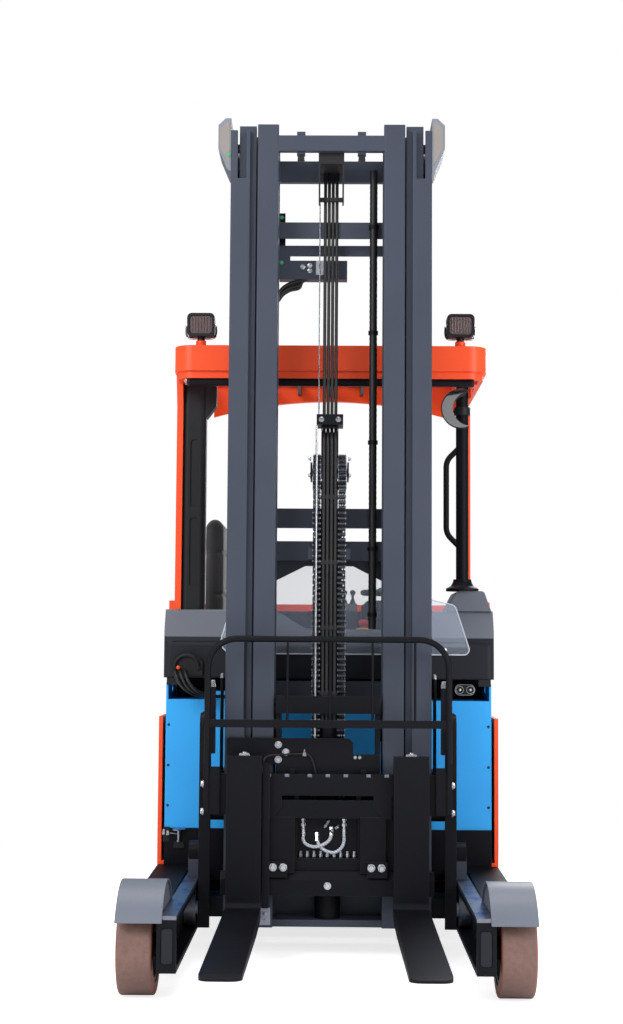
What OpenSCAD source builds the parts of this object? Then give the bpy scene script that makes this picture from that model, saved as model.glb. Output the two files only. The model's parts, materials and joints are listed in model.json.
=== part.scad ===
// Reach truck, forks towards -Y, seat facing +X, standing on z = 0.
// The origin is on the floor in the middle of the overall length and width.
// All sizes are in millimetres.

/* [Overall] */
// Width over the load wheels and side panels
overall_w = 1270; // [1230:5:1320]
// Load axle to drive axle
wheelbase = 1625; // [1590:5:1700]
// Load axle to the front face of the fork shanks
load_distance = 475; // [455:5:490]
// Drive axle to the rear of the body
drive_overhang = 270; // [265:5:320]
// Fork blade length ahead of the fork face
fork_len = 1150; // [900:10:1300]
// Length of the body from the battery face to the rear
body_len = 885; // [880:5:940]

/* [Load wheels and legs] */
// Load wheel diameter
load_wheel_d = 300; // [280:5:320]
// Load wheel width
load_wheel_w = 110; // [95:5:115]
// Thickness of the load wheel tread
load_tread_t = 38; // [25:1:45]
// Axle pin diameter of the load wheel
load_pin_d = 50; // [40:2:60]
// Distance of a leg's open side from the middle of the truck
leg_inner_x = 450; // [446:2:456]
// Width of the leg channel
leg_w = 59; // [54:1:60]
// Height of the leg channel
leg_h = 158; // [150:2:166]
// Wall of the leg channel
leg_wall = 16; // [12:1:18]
// Underside of the leg above the floor
leg_bottom = 94; // [86:2:100]
// Bare running rail width
rail_w = 48; // [40:1:52]
// Bare running rail thickness
rail_t = 12; // [8:1:14]
// Leg end plate ahead of the load axle
leg_nose = 163; // [158:1:170]
// Running radius of the fender sheet
fender_r = 200; // [190:2:205]
// Thickness of the fender sheet
fender_t = 4; // [3:1:6]
// Height of the fender's front lip above the floor
fender_lip_z = 243; // [236:1:250]

/* [Drive unit] */
// Drive wheel diameter
drive_wheel_d = 343; // [330:1:350]
// Drive wheel width
drive_wheel_w = 130; // [110:5:140]
// Thickness of the drive wheel tread
drive_tread_t = 32; // [25:1:40]
// Radius of the round well that the drive wheel turns in
drive_well_r = 198; // [195:1:205]
// Traction motor diameter
motor_d = 190; // [170:5:200]
// Traction motor height above the turntable
motor_h = 240; // [200:10:260]

/* [Body] */
// Underside of the chassis above the floor
base_bottom = 90; // [80:2:100]
// Top of the chassis floor
base_top = 396; // [390:1:400]
// Half width of the chassis and battery
base_half_w = 608; // [600:1:612]
// Battery depth from front to back
battery_depth = 340; // [320:5:350]
// Battery tank height
battery_h = 466; // [440:2:480]
// Height of the battery end flanges above the tank
battery_flange_h = 63; // [50:1:66]
// Thickness of the battery end flanges
battery_flange_t = 8; // [6:1:26]
// Thickness of the orange side panels
side_panel_t = 15; // [12:1:18]
// Underside of the side panels above the floor
side_panel_bottom = 240; // [220:5:250]
// Top of the side panels
side_panel_top = 807; // [790:1:820]
// Underside of the cowl
cowl_bottom = 952; // [940:1:960]
// Height of the crease across the cowl's front
cowl_crease_z = 1079; // [1060:1:1090]
// Top of the cowl
cowl_top = 1209; // [1190:1:1220]
// Depth of the valley in the top of the cowl
valley_depth = 72; // [50:1:80]
// Set-back of the cowl's top edge behind its front face
cowl_slope = 70; // [50:5:80]
// Top of the right hand console
console_top = 1285; // [1270:1:1300]
// Wall of the cab tub
tub_wall = 12; // [8:1:16]
// Top of the rear body
rear_top = 1250; // [1230:5:1260]
// Wall of the rear body
rear_wall = 28; // [24:1:30]
// Corner radius of the rear body
rear_corner_r = 90; // [60:5:110]
// Height of the entry sill
sill_top = 450; // [430:5:470]

/* [Overhead guard] */
// Half width of the guard
guard_half_w = 588; // [570:1:600]
// Top of the guard
guard_top = 2196; // [2150:1:2250]
// Height of the guard's band
guard_band_h = 123; // [100:1:130]
// Height of the set-back strip along the bottom of the band
guard_strip_h = 27; // [15:1:35]
// Height of the arch in the guard's rear beam
guard_arch_h = 71; // [40:1:80]
// Wall of the guard's band
guard_wall = 30; // [24:1:36]
// Distance of the guard's front edge ahead of the body
guard_lead = 88; // [70:1:95]
// Distance of the guard's rear edge from the rear of the body
guard_tail = 35; // [20:5:60]
// Corner radius of the guard
guard_corner_r = 70; // [50:5:90]
// Round entry post diameter
post_d = 48; // [40:1:54]
// Number of roof bars
roof_bar_count = 7; // [5:1:9]
// Roof bar width
roof_bar_w = 14; // [10:1:20]
// Roof bar height
roof_bar_h = 46; // [30:2:50]

/* [Mast] */
// Half width over the outer rails
mast_half_w = 360; // [355:1:362]
// Underside of the mast rails
mast_bottom = 106; // [100:1:112]
// Top of the outer rails
outer_top = 2915; // [2880:5:2930]
// Top of the middle and inner rails
mast_top = 2936; // [2930:2:2950]
// Outer rail depth from front to back
outer_depth = 184; // [180:1:188]
// Outer rail flange width
outer_flange_w = 70; // [66:1:72]
// Outer rail web thickness
outer_web_t = 14; // [12:1:16]
// Flange thickness of the outer and middle rails
flange_t = 16; // [14:1:18]
// Middle rail flange width
middle_w = 61; // [58:1:63]
// Middle rail web thickness
middle_web_t = 12; // [10:1:14]
// Inner rail depth from front to back
inner_depth = 158; // [154:1:160]
// Inner rail flange width
inner_w = 76; // [72:1:78]
// Inner rail web thickness
inner_web_t = 12; // [10:1:14]
// Inner rail flange thickness
inner_flange_t = 18; // [16:1:20]
// Running clearance between mast rails
rail_gap = 5; // [5:1:6]
// Clearance of a roller in its channel
roller_fit = 0.4; // [0.3:0.1:0.6]
// Clearance of a rod or pin in its bore
rod_fit = 0.3; // [0.2:0.1:0.4]
// Main lift cylinder diameter
lift_tube_d = 75; // [70:1:80]
// Main lift rod diameter
lift_rod_d = 45; // [40:1:50]
// Top of the main lift cylinders
lift_tube_top = 2560; // [2500:10:2600]
// Free lift cylinder diameter
free_tube_d = 90; // [84:1:92]
// Free lift rod diameter
free_rod_d = 60; // [50:1:64]
// Top of the free lift cylinder
free_tube_top = 1540; // [1500:10:1545]
// Height of the chain pulley pins at rest
chain_pin_z = 1690; // [1680:1:1700]
// Pitch radius of the chain pulleys
chain_pulley_r = 60; // [58:1:62]
// Middle of a lift chain from the middle of the truck
chain_x = 45; // [43:1:47]
// Lift chain width
chain_w = 28; // [24:1:30]
// Lift chain thickness
chain_t = 14; // [12:1:16]
// Mast hose diameter
hose_d = 12; // [10:1:13]
// Sheathed hose bundle diameter
sheath_d = 26; // [22:1:28]
// Stroke of the reach carriage
reach_stroke = 560; // [500:10:570]

/* [Fork carriage] */
// Fork width
fork_w = 120; // [100:5:125]
// Fork shank and heel thickness
fork_t = 43; // [40:1:45]
// Distance of a fork's middle from the middle of the truck
fork_x = 285; // [275:1:286]
// Top of the fork blades at rest
fork_blade_z = 188; // [180:1:195]
// Top of the fork shanks
fork_shank_top = 699; // [690:1:710]
// Thickness of a fork at its tip
fork_tip_t = 14; // [10:1:18]
// Inside radius of the fork heel
fork_root_r = 22; // [12:1:30]
// Corner radius of the fork tip seen from above
fork_tip_r = 34; // [20:1:50]
// Upper fork bar half width
upper_bar_half_w = 390; // [380:1:392]
// Lower fork bar half width
lower_bar_half_w = 365; // [355:1:368]
// Thickness of the fork bars
fork_bar_t = 25; // [22:1:26]
// Half width of the load backrest
backrest_half_w = 425; // [415:1:428]
// Top of the load backrest
backrest_top = 1108; // [1080:1:1120]
// Backrest tube diameter
backrest_tube_d = 22; // [18:1:24]
// Number of upright backrest bars
backrest_bars = 5; // [4:1:7]
// Spacing of the upright backrest bars
backrest_pitch = 146; // [110:1:150]
// Corner radius of the backrest tube
backrest_bend_r = 100; // [40:5:120]

/* [Cab] */
// Seat cushion length
seat_len = 450; // [420:5:470]
// Seat cushion width
seat_w = 380; // [360:5:400]
// Top of the seat cushion
seat_top = 1000; // [980:5:1020]
// Height of the seat back above the cushion
seat_back_h = 603; // [560:1:620]
// Work lamp width
lamp_w = 104; // [90:1:110]
// Work lamp height
lamp_h = 88; // [80:1:94]

/* [Hidden] */
$fn = 48;

// Clearance between pieces that move past each other
clear = 5;
// Gap between a piece and the seat that it rests on
seat_gap = 0.3;

// Stations along the truck
y_rear = (drive_overhang + wheelbase - load_distance + fork_len) / 2;
y_drive = y_rear - drive_overhang;
y_load = y_drive - wheelbase;
y_face = y_load + load_distance;
y_tip = y_face - fork_len;
y_body = y_rear - body_len;
y_battery_back = y_body + 8 + battery_depth;
y_guard = y_body - guard_lead;
y_guard_back = y_rear - guard_tail;
half_w = overall_w / 2;

// The half widths above are given at this overall width and move with a wider or narrower one
given_w = 1270;
spread = (overall_w - given_w) / 2;
leg_in_x = leg_inner_x + spread;
base_x = base_half_w + spread;
guard_x = guard_half_w + spread;
mast_x = mast_half_w + spread;
side_gap = 12;
body_x = base_x + side_gap + side_panel_t;

// Wheels and legs
load_r = load_wheel_d / 2;
load_wheel_x = half_w - load_wheel_w;
leg_outer_x = leg_in_x + leg_w;
leg_top = leg_bottom + leg_h;
leg_y = y_load - leg_nose;
rail_top = leg_top + rail_t;
reach_roller_r = (leg_h - 2 * leg_wall) / 2 - roller_fit;
reach_roller_z = leg_bottom + leg_h / 2;
drive_r = drive_wheel_d / 2;
seat_x = -body_x + 205;
seat_y = y_drive + 10;
cushion_t = 120;
turntable_z = drive_wheel_d + 14;
turntable_t = base_top - turntable_z - 20;

// Mast rails, from the middle outwards
outer_y = y_face + 117;
mast_mid_y = outer_y + outer_depth / 2;
outer_back = outer_y + outer_depth;
outer_channel_x = mast_x - outer_web_t;
middle_depth = outer_depth - 2 * flange_t - 2 * rail_gap;
middle_y = mast_mid_y - middle_depth / 2;
middle_out_x = outer_channel_x - 16;
middle_in_x = middle_out_x - middle_w;
middle_web_x = middle_in_x + 27;
inner_out_x = middle_in_x - rail_gap;
inner_in_x = inner_out_x - inner_w;
inner_y = outer_y - 2;
inner_back = inner_y + inner_depth;
inner_mid_y = inner_y + inner_depth / 2;
outer_roller_r = (outer_depth - 2 * flange_t) / 2 - roller_fit;
middle_roller_r = (middle_depth - 2 * flange_t) / 2 - roller_fit;
inner_roller_r = (inner_depth - 2 * inner_flange_t) / 2 - roller_fit;
mast_roller_zs = [inner_roller_r + mast_bottom + 4, 700];

// Cylinders and chains
lift_x = mast_x - 42;
cross_y = outer_back + 24;
cross_t = 12;
lift_y = cross_y + cross_t + lift_tube_d / 2 + 4;
reach_floor_z = mast_bottom + 41;
free_y = inner_y + 82;
free_tube_r = free_tube_d / 2;
chain_front_y = free_y - chain_pulley_r;
chain_back_y = free_y + chain_pulley_r;
hose_bend_r = 52;
hose_pin_z = chain_pin_z + 100;
head_low = 60;
stage_pulley_r = 45;
stage_chain_x = inner_in_x + 38;
stage_chain_y = inner_back + 13;
stage_pulley_y = stage_chain_y + stage_pulley_r;
reach_x = 262;
reach_z = leg_bottom + 60;
reach_tube_r = 35;
reach_rod_r = 22;
reach_plate_t = 16;
reach_back_y = lift_y + lift_tube_d / 2 + 2 + reach_plate_t;
reach_tube_y = y_body - 70;

// Fork carriage layers from the mast forwards
carriage_back = inner_y - 5;
carriage_t = 12;
carriage_front = carriage_back - carriage_t;
tilt_back = carriage_front - 17;
tilt_t = 12;
tilt_front = tilt_back - tilt_t;
bar_back = tilt_front - 0.5;
bar_front = bar_back - fork_bar_t;
tilt_pin_y = carriage_front - 7;
tilt_pin_z = 575;
carriage_side_x = inner_in_x - 23;
notch_xs = [-202, -140, -62, 0, 62, 140, 202];
hook_z = 563;
clamp_x = 171;

// Cowl and post
valley_left = -60;
valley_right = 330;
valley_z = cowl_top - valley_depth;
post_x = body_x - 128;
lamp_x = guard_x - 99;

// Corners given as [low, high] along each axis
module block(x, y, z) {
    translate([x[0], y[0], z[0]]) cube([x[1] - x[0], y[1] - y[0], z[1] - z[0]]);
}
module rod_x(x, y, z, r) { translate([x[0], y, z]) rotate([0, 90, 0]) cylinder(r = r, h = x[1] - x[0]); }
module rod_y(x, y, z, r) { translate([x, y[0], z]) rotate([-90, 0, 0]) cylinder(r = r, h = y[1] - y[0]); }
module rod_z(x, y, z, r) { translate([x, y, z[0]]) cylinder(r = r, h = z[1] - z[0]); }
module both_sides() {
    children();
    mirror([1, 0, 0]) children();
}
// A rectangle with round corners, given by two opposite corners
module rounded(a, b, r) {
    translate([a[0] + r, a[1]]) square([b[0] - a[0] - 2 * r, b[1] - a[1]]);
    translate([a[0], a[1] + r]) square([b[0] - a[0], b[1] - a[1] - 2 * r]);
    for (x = [a[0] + r, b[0] - r], y = [a[1] + r, b[1] - r]) translate([x, y]) circle(r);
}
// Outlines whose corners are rounded one by one, and a smooth step between two levels
function corner_arc(a, b, c, r) =
    let (u = unit(a - b), v = unit(c - b), open = acos(u * v), m = b + unit(u + v) * r / sin(open / 2),
        p = b + u * r / tan(open / 2) - m, q = b + v * r / tan(open / 2) - m, turn = 180 - open)
    [for (i = [0:6]) m + (sin((1 - i / 6) * turn) * p + sin(i / 6 * turn) * q) / sin(turn)];
function round_off(points, radii) =
    let (n = len(points))
    [for (i = [0:n - 1]) each radii[i] > 0
        ? corner_arc(points[(i + n - 1) % n], points[i], points[(i + 1) % n], radii[i]) : [points[i]]];
function step_curve(a, b) =
    [for (i = [0:8]) [a[0] + (b[0] - a[0]) * i / 8, a[1] + (b[1] - a[1]) * (1 - cos(180 * i / 8)) / 2]];

// Flat outlines extruded along one axis between two stations
module along_x(x) { translate([x[0], 0, 0]) rotate([90, 0, 90]) linear_extrude(x[1] - x[0]) children(); }
module along_y(y) { translate([0, y[1], 0]) rotate([90, 0, 0]) linear_extrude(y[1] - y[0]) children(); }
module along_z(z) { translate([0, 0, z[0]]) linear_extrude(z[1] - z[0]) children(); }
// A round tube elbow of 90 degrees in the plane of X and Z
module elbow(at, bend_r, r, turn) {
    translate(at) rotate([90, 0, 0]) rotate([0, 0, turn])
        rotate_extrude(angle = 90) translate([bend_r, 0]) circle(r);
}

// Sections of the mast rails, right hand side
module outer_section() {
    difference() {
        rounded([mast_x - outer_flange_w, outer_y], [mast_x, outer_back], 5);
        translate([mast_x - outer_flange_w - 1, outer_y + flange_t])
            square([outer_flange_w - outer_web_t + 1, outer_depth - 2 * flange_t]);
    }
}
module middle_section() {
    translate([middle_web_x, middle_y]) square([middle_web_t, middle_depth]);
    for (y = [middle_y, middle_y + middle_depth - flange_t])
        translate([middle_in_x, y]) square([middle_w, flange_t]);
}
module inner_section() {
    difference() {
        rounded([inner_in_x, inner_y], [inner_out_x, inner_back], 5);
        translate([inner_in_x - 1, inner_y + inner_flange_t])
            square([inner_w - inner_web_t + 1, inner_depth - 2 * inner_flange_t]);
    }
}

module chassis_base() {
    color("#24262b") difference() {
        union() {
            block([-base_x, base_x], [y_body, y_battery_back], [base_bottom, base_top]);
            along_z([base_bottom, base_top]) tub_outline(0, -1);
        }
        rod_z(0, y_drive, [base_bottom - 1, turntable_z + turntable_t + seat_gap], drive_well_r);
        rod_z(0, y_drive, [base_bottom, base_top + 1], motor_d / 2 + clear);
        for (side = [-1, 1]) {
            rod_y(side * reach_x, [y_body - 1, reach_tube_end()], reach_z, reach_tube_r + 8);
            block([side * reach_x - reach_tube_r - 8, side * reach_x + reach_tube_r + 8],
                [y_body - 1, reach_tube_end()], [base_bottom - 1, reach_z]);
        }
    }
}
function reach_tube_end() = reach_tube_y + reach_stroke + 120;

module leg() {
    root_front = y_load + load_r + 40;
    difference() {
        block([leg_in_x, leg_outer_x], [leg_y, y_body], [leg_bottom, leg_top]);
        block([leg_in_x - 1, leg_outer_x - leg_wall], [leg_y + leg_wall, y_body - leg_wall],
            [leg_bottom + leg_wall, leg_top - leg_wall]);
        along_y([leg_y - 1, leg_y + 3])
            rounded([leg_in_x + 14, leg_bottom + 24], [leg_outer_x - 12, leg_top - 26], 9);
    }
    along_x([leg_outer_x, half_w - 5]) polygon([
        [root_front, leg_bottom], [y_body, leg_bottom], [y_body, rail_top],
        [root_front + 90, leg_top], [root_front, leg_top - 40]
    ]);
    rod_x([leg_outer_x, half_w - 30], y_load, load_r, load_pin_d / 2);
    rod_x([leg_outer_x, load_wheel_x + 10], y_load, load_r, load_pin_d / 2 + 12);
    rod_x([half_w - 30, half_w - 18], y_load, load_r, load_pin_d / 2 + 12);
}
module leg_right() { color("#1e2025") leg(); }
module leg_left() { color("#1e2025") mirror([1, 0, 0]) leg(); }
module leg_rails() {
    color("#4a4f63") both_sides()
        block([leg_in_x, leg_in_x + rail_w], [leg_y, y_body - leg_wall], [leg_top, rail_top]);
}
module fender() {
    inner_x = leg_in_x + 43;
    difference() {
        rod_x([inner_x, half_w], y_load, load_r, fender_r);
        rod_x([inner_x - 1, half_w + 1], y_load, load_r, fender_r - fender_t);
        block([inner_x - 1, half_w + 1], [y_load - fender_r - 1, y_load + fender_r + 1],
            [load_r - fender_r - 1, fender_lip_z]);
        block([inner_x - 1, leg_outer_x + seat_gap], [leg_y - seat_gap, y_load + fender_r],
            [0, rail_top + seat_gap]);
    }
    intersection() {
        rod_x([leg_outer_x - 8, leg_outer_x - 8 + fender_t], y_load, load_r, fender_r - 1);
        block([leg_outer_x - 10, leg_outer_x], [leg_y + 5, y_load - leg_y + y_load - 5],
            [leg_top, load_r + fender_r]);
    }
}
module fenders() { color("#6b6f7c") both_sides() fender(); }

// A wheel on the X axis: tread ring and hub with two recessed faces
module tread(x, y, r, t, w) {
    translate([x, y, r]) rotate([0, 90, 0]) rotate_extrude() difference() {
        translate([r - t, 0]) rounded([-20, 0], [t, w], 8);
        translate([r - t - 30, -1]) square([30, w + 2]);
    }
}
module hub(x, y, r, hub_r, w, bore_r) {
    difference() {
        rod_x([x + 4, x + w - 4], y, r, hub_r - 0.1);
        rod_x([x, x + w], y, r, bore_r);
        rod_x([x, x + 18], y, r, hub_r - 16);
        rod_x([x + w - 42, x + w], y, r, hub_r - 16);
    }
}
module load_tyre_right() {
    color("#7a5a52") tread(load_wheel_x, y_load, load_r, load_tread_t, load_wheel_w);
}
module load_tyre_left() { mirror([1, 0, 0]) load_tyre_right(); }
module load_hub_right() {
    color("#5b5f66")
        hub(load_wheel_x, y_load, load_r, load_r - load_tread_t, load_wheel_w, load_pin_d / 2 + rod_fit);
}
module load_hub_left() { mirror([1, 0, 0]) load_hub_right(); }
module drive_tyre() {
    color("#2b2c30") tread(-drive_wheel_w / 2, y_drive, drive_r, drive_tread_t, drive_wheel_w);
}
module drive_hub() {
    color("#5b5f66")
        hub(-drive_wheel_w / 2, y_drive, drive_r, drive_r - drive_tread_t, drive_wheel_w, 32 + rod_fit);
}
module steer_unit() {
    gear_x = drive_wheel_w / 2 + 8;
    color("#30333a") {
        rod_z(0, y_drive, [turntable_z, turntable_z + turntable_t], 150);
        rod_z(0, y_drive, [turntable_z + turntable_t - 1, turntable_z + turntable_t + motor_h], motor_d / 2);
        along_x([gear_x, gear_x + 38])
            rounded([y_drive - 62, drive_r - 62], [y_drive + 62, turntable_z + 10], 60);
        rod_x([-drive_wheel_w / 2 + 46, gear_x + 1], y_drive, drive_r, 32);
    }
}

module battery() {
    front = y_body + 8;
    color("#3a9df0") {
        block([-base_x, base_x], [front, y_battery_back], [base_top, base_top + battery_h + 10]);
        both_sides() difference() {
            block([base_x - battery_flange_t, base_x], [front, y_battery_back],
                [base_top + battery_h, base_top + 10 + battery_h + battery_flange_h]);
            rod_x([base_x - 30, base_x + 1], (front + y_battery_back) / 2, base_top + battery_h + 48, 14);
        }
        // terminal block that the leads go into
        block([-424, -356], [front + 32, front + 92], [base_top + battery_h + 9, base_top + battery_h + 40]);
    }
}
module side_panels() {
    color("#e8502a") both_sides() {
        block([body_x - side_panel_t, body_x], [y_body + 22, y_battery_back],
            [side_panel_bottom + 20, side_panel_top]);
        block([base_x + seat_gap, body_x], [y_battery_back - 14, y_battery_back],
            [side_panel_bottom + 20, side_panel_top]);
        block([base_x + seat_gap, body_x], [y_body + 22, y_battery_back],
            [side_panel_bottom + 20, side_panel_bottom + 34]);
    }
}
module shell_outline(inset) {
    rounded([-body_x + inset, y_battery_back - rear_corner_r + inset], [body_x - inset, y_rear - inset],
        rear_corner_r - inset);
}
// The inside of the rear body, from a little behind the battery to the rear wall
module tub_outline(inset, lead) {
    intersection() {
        shell_outline(rear_wall + seat_gap + inset);
        translate([-body_x, y_battery_back + seat_gap + lead]) square([2 * body_x, body_len]);
    }
}
module rear_shell() {
    color("#e8502a") difference() {
        along_z([side_panel_bottom, rear_top]) shell_outline(0);
        along_z([side_panel_bottom - 1, rear_top + 1]) shell_outline(rear_wall);
        block([-body_x - 1, body_x + 1], [y_battery_back - rear_corner_r - 1, y_battery_back + seat_gap],
            [side_panel_bottom - 1, rear_top + 1]);
        block([body_x - rear_corner_r - 40, body_x + 1], [y_battery_back + 60, y_rear - 150],
            [sill_top, rear_top + 1]);
    }
}
module cab_tub() {
    color("#33363d") difference() {
        along_z([base_top, rear_top - 40]) tub_outline(0, 0);
        along_z([base_top + tub_wall, rear_top]) tub_outline(tub_wall, tub_wall);
        rod_z(0, y_drive, [base_top - 1, base_top + tub_wall + 1], motor_d / 2 + clear);
        block([body_x - rear_corner_r - 40, body_x + 1], [y_battery_back + 60, y_rear - 150],
            [sill_top, rear_top + 1]);
    }
}
module cowl() {
    x = body_x - 15;
    back = y_battery_back;
    over = cowl_top + 1;
    color("#3a3c44") {
        intersection() {
            along_x([-x, x]) polygon(round_off([
                [y_body, cowl_bottom], [back, cowl_bottom], [back, over], [y_body + cowl_slope, over],
                [y_body, cowl_crease_z]
            ], [6, 0, 0, 18, 30]));
            along_z([cowl_bottom - 1, over]) rounded([-x, y_body], [x, back + 40], 28);
            along_y([y_body - 1, back + 1]) polygon(concat(
                [[-x, cowl_bottom - 1], [x, cowl_bottom - 1], [x, cowl_top]],
                step_curve([valley_right + 55, cowl_top], [valley_right, valley_z]),
                step_curve([valley_left, valley_z], [valley_left - 170, cowl_top]),
                [[-x, cowl_top]]
            ));
        }
        along_y([y_body + cowl_slope - 10, back]) polygon(round_off([
            [post_x - 62, cowl_top - 1], [x - 6, cowl_top - 1],
            [x - 34, console_top], [post_x - 23, console_top]
        ], [0, 0, 14, 18]));
    }
}
module battery_plug() {
    x0 = -body_x + 45;
    x1 = x0 + 120;
    color("#17181b") {
        along_y([y_body - 28, y_body]) polygon(round_off([
            [x0, cowl_bottom + 8], [x1, cowl_bottom + 8], [x1, cowl_bottom + 62], [x1 - 18, cowl_bottom + 78],
            [x0 + 18, cowl_bottom + 78], [x0, cowl_bottom + 62]
        ], [6, 6, 6, 6, 6, 6]));
        // arched handle
        translate([(x0 + x1) / 2, y_body - 33, cowl_bottom + 40]) rotate([90, 0, 0])
            rotate_extrude(angle = 180) translate([44, 0]) circle(7);
        for (x = [x0 + 16, x1 - 16]) rod_y(x, [y_body - 38, y_body - 20], cowl_bottom + 40, 8);
    }
}

module guard_outline(inset) {
    rounded([-guard_x + inset, y_guard + inset], [guard_x - inset, y_guard_back - inset],
        guard_corner_r - min(inset, guard_corner_r - 20));
}
module overhead_guard() {
    band = guard_top - guard_band_h;
    lip = band + guard_strip_h;
    arch_half = guard_x - guard_corner_r - 18;
    arch_r = (arch_half * arch_half + guard_arch_h * guard_arch_h) / (2 * guard_arch_h);
    arch_z = band - 24 + guard_arch_h - arch_r;
    beam_y = [y_guard_back - guard_wall, y_guard_back];
    color("#e8502a") {
        difference() {
            union() {
                along_z([lip, guard_top]) guard_outline(0);
                along_z([band, lip + 1]) guard_outline(12);
                block([-arch_half, arch_half], [beam_y[0], beam_y[1] - 14], [band - 24, band + 1]);
            }
            along_z([band - 1, guard_top - 8]) guard_outline(guard_wall);
            along_z([band - 1, guard_top + 1]) guard_outline(guard_wall + 30);
            translate([0, 0, arch_z]) rod_y(0, [beam_y[0] - 1, beam_y[1] + 1], 0, arch_r);
        }
        // left pillar, wider where it meets the band
        block([-guard_x, -guard_x + 24], [y_body + 80, y_body + 170], [cowl_top, band + 20]);
        along_x([-guard_x, -guard_x + 24]) polygon([
            [y_body + 40, lip], [y_body + 240, lip], [y_body + 169, band - 90], [y_body + 81, band - 90]
        ]);
        // bracket on the right side of the band that the entry post bolts to
        block([post_x - 36, guard_x - guard_wall + 1], [y_body + 60, y_body + 150],
            [band + seat_gap, band + 12]);
        for (x = [post_x - 36, post_x + 30]) along_x([x, x + 6]) polygon(round_off([
            [y_body + 60, band + 10], [y_body + 150, band + 10],
            [y_body + 130, band - 45], [y_body + 80, band - 45]
        ], [0, 0, 12, 12]));
        for (side = [-1, 1])
            along_z([rear_top, band + 20]) translate([side * (body_x - 60), y_rear - 60])
                rounded([-22, -35], [22, 25], 8);
    }
}
module roof_bars() {
    span = guard_x - guard_wall - 30;
    y0 = y_guard + guard_wall;
    y1 = y_guard_back - guard_wall;
    color("#1c1d22") {
        for (i = [1:roof_bar_count]) {
            x = -span + 2 * span * i / (roof_bar_count + 1);
            block([x - roof_bar_w / 2, x + roof_bar_w / 2], [y0, y1],
                [guard_top - 8 - roof_bar_h, guard_top - 8]);
        }
        rod_x([-guard_x + 60, guard_x - 60], y_guard + 24, guard_top - guard_band_h - 14, 14);
    }
}
module pillar_trim() {
    x = -guard_x + 24;
    y = [y_body + 84, y_body + 160];
    band = guard_top - guard_band_h;
    color("#1c1d22") difference() {
        union() {
            along_z([cowl_top, band]) rounded([x, y[0]], [x + 88, y[1]], 20);
            along_y([y[0] + 8, y[1] - 8]) polygon(round_off([
                [x, band - 160], [x + 88, band - 130], [x + 126, band - 80], [x + 126, band], [x, band]
            ], [0, 30, 20, 6, 0]));
        }
        for (z = [[1300, 1560], [1600, 1860]])
            along_y([y[0] - 1, y[0] + 5]) rounded([x + 30, z[0]], [x + 62, z[1]], 12);
    }
}
module grab_end() {
    bend = 60;
    knee = bend * (1 - cos(45));
    run = (post_d / 2 + 37 - knee - 10) * sqrt(2);
    translate([bend, 0, 0]) rotate([90, 0, 0]) rotate([0, 0, 180]) rotate_extrude(angle = 45)
        translate([bend, 0]) circle(11);
    translate([knee, 0, -bend * sin(45)]) rotate([0, 135, 0]) cylinder(r = 11, h = run);
}
module entry_post() {
    y = y_body + 100;
    rail_x = post_x - 61;
    low = 1530;
    high = 1760;
    color("#24262b") {
        rod_z(post_x, y, [console_top + 40, guard_top - guard_band_h], post_d / 2);
        translate([post_x, y, console_top]) rotate_extrude() polygon([
            [0, 0], [62, 0], [62, 10], [44, 20], [36, 34], [34, 45], [0, 45]
        ]);
        rod_z(rail_x, y, [low, high], 11);
        translate([rail_x, y, low]) grab_end();
        translate([rail_x, y, high]) mirror([0, 0, 1]) grab_end();
    }
}
module windscreen() {
    color("#cfe3ea") along_y([y_body - 5, y_body]) polygon(round_off([
        [216 - body_x, 1044], [body_x - 103, 1044], [body_x - 163, 1228], [body_x - 249, 1248],
        [200, 1381], [-200, 1381], [276 - body_x, 1248]
    ], [45, 20, 24, 40, 40, 40, 60]));
}
module seat_base() {
    color("#24262b") difference() {
        block([seat_x - 90, motor_d / 2 + 40], [seat_y - 200, seat_y + 200],
            [base_top + tub_wall, seat_top - cushion_t - seat_gap]);
        rod_z(0, y_drive, [base_top, base_top + motor_h + 60], motor_d / 2 + 20);
    }
}
module seat_cushion() {
    color("#2e3036") block([seat_x, seat_x + seat_len], [seat_y - seat_w / 2, seat_y + seat_w / 2],
        [seat_top - cushion_t, seat_top]);
}
module seat_back() {
    color("#2e3036") block([seat_x - 72, seat_x - seat_gap], [seat_y - seat_w / 2, seat_y + seat_w / 2],
        [seat_top - cushion_t, seat_top + seat_back_h]);
}
module armrest() {
    y = seat_y - seat_w / 2 - 8;
    color("#2e3036") {
        block([seat_x + 20, seat_x + 300], [y - 56, y], [seat_top + 120, seat_top + 165]);
        block([seat_x - 40, seat_x + 30], [y - 34, y - 16], [seat_top + 120, seat_top + 160]);
        block([seat_x - 40, seat_x - 10], [y - 34, y + 8 - seat_gap], [seat_top + 100, seat_top + 160]);
    }
}
module steering_console() {
    color("#17181b") {
        along_y([y_battery_back - 150, y_battery_back]) polygon(round_off([
            [125, valley_z], [325, valley_z], [325, cowl_top + 20], [300, cowl_top + 42], [150, cowl_top + 42],
            [125, cowl_top + 20]
        ], [0, 0, 12, 12, 12, 12]));
        rod_z(225, y_battery_back - 75, [cowl_top + 42, cowl_top + 70], 22);
        translate([225, y_battery_back - 75, cowl_top + 74]) rotate_extrude() translate([92, 0]) circle(11);
        rod_z(225, y_battery_back - 75, [cowl_top + 68, cowl_top + 80], 88);
    }
}
module control_levers() {
    color("#17181b") {
        along_x([valley_left + 5, 110]) polygon(round_off([
            [y_battery_back - 120, valley_z], [y_battery_back, valley_z], [y_battery_back, cowl_top + 30],
            [y_battery_back - 90, cowl_top + 30], [y_battery_back - 120, cowl_top]
        ], [0, 0, 10, 14, 14]));
        for (x = [-36:32:92]) {
            rod_z(x, y_battery_back - 60, [cowl_top + 30, cowl_top + 70], 5);
            translate([x, y_battery_back - 60, cowl_top + 74]) sphere(11);
        }
    }
}
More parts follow.
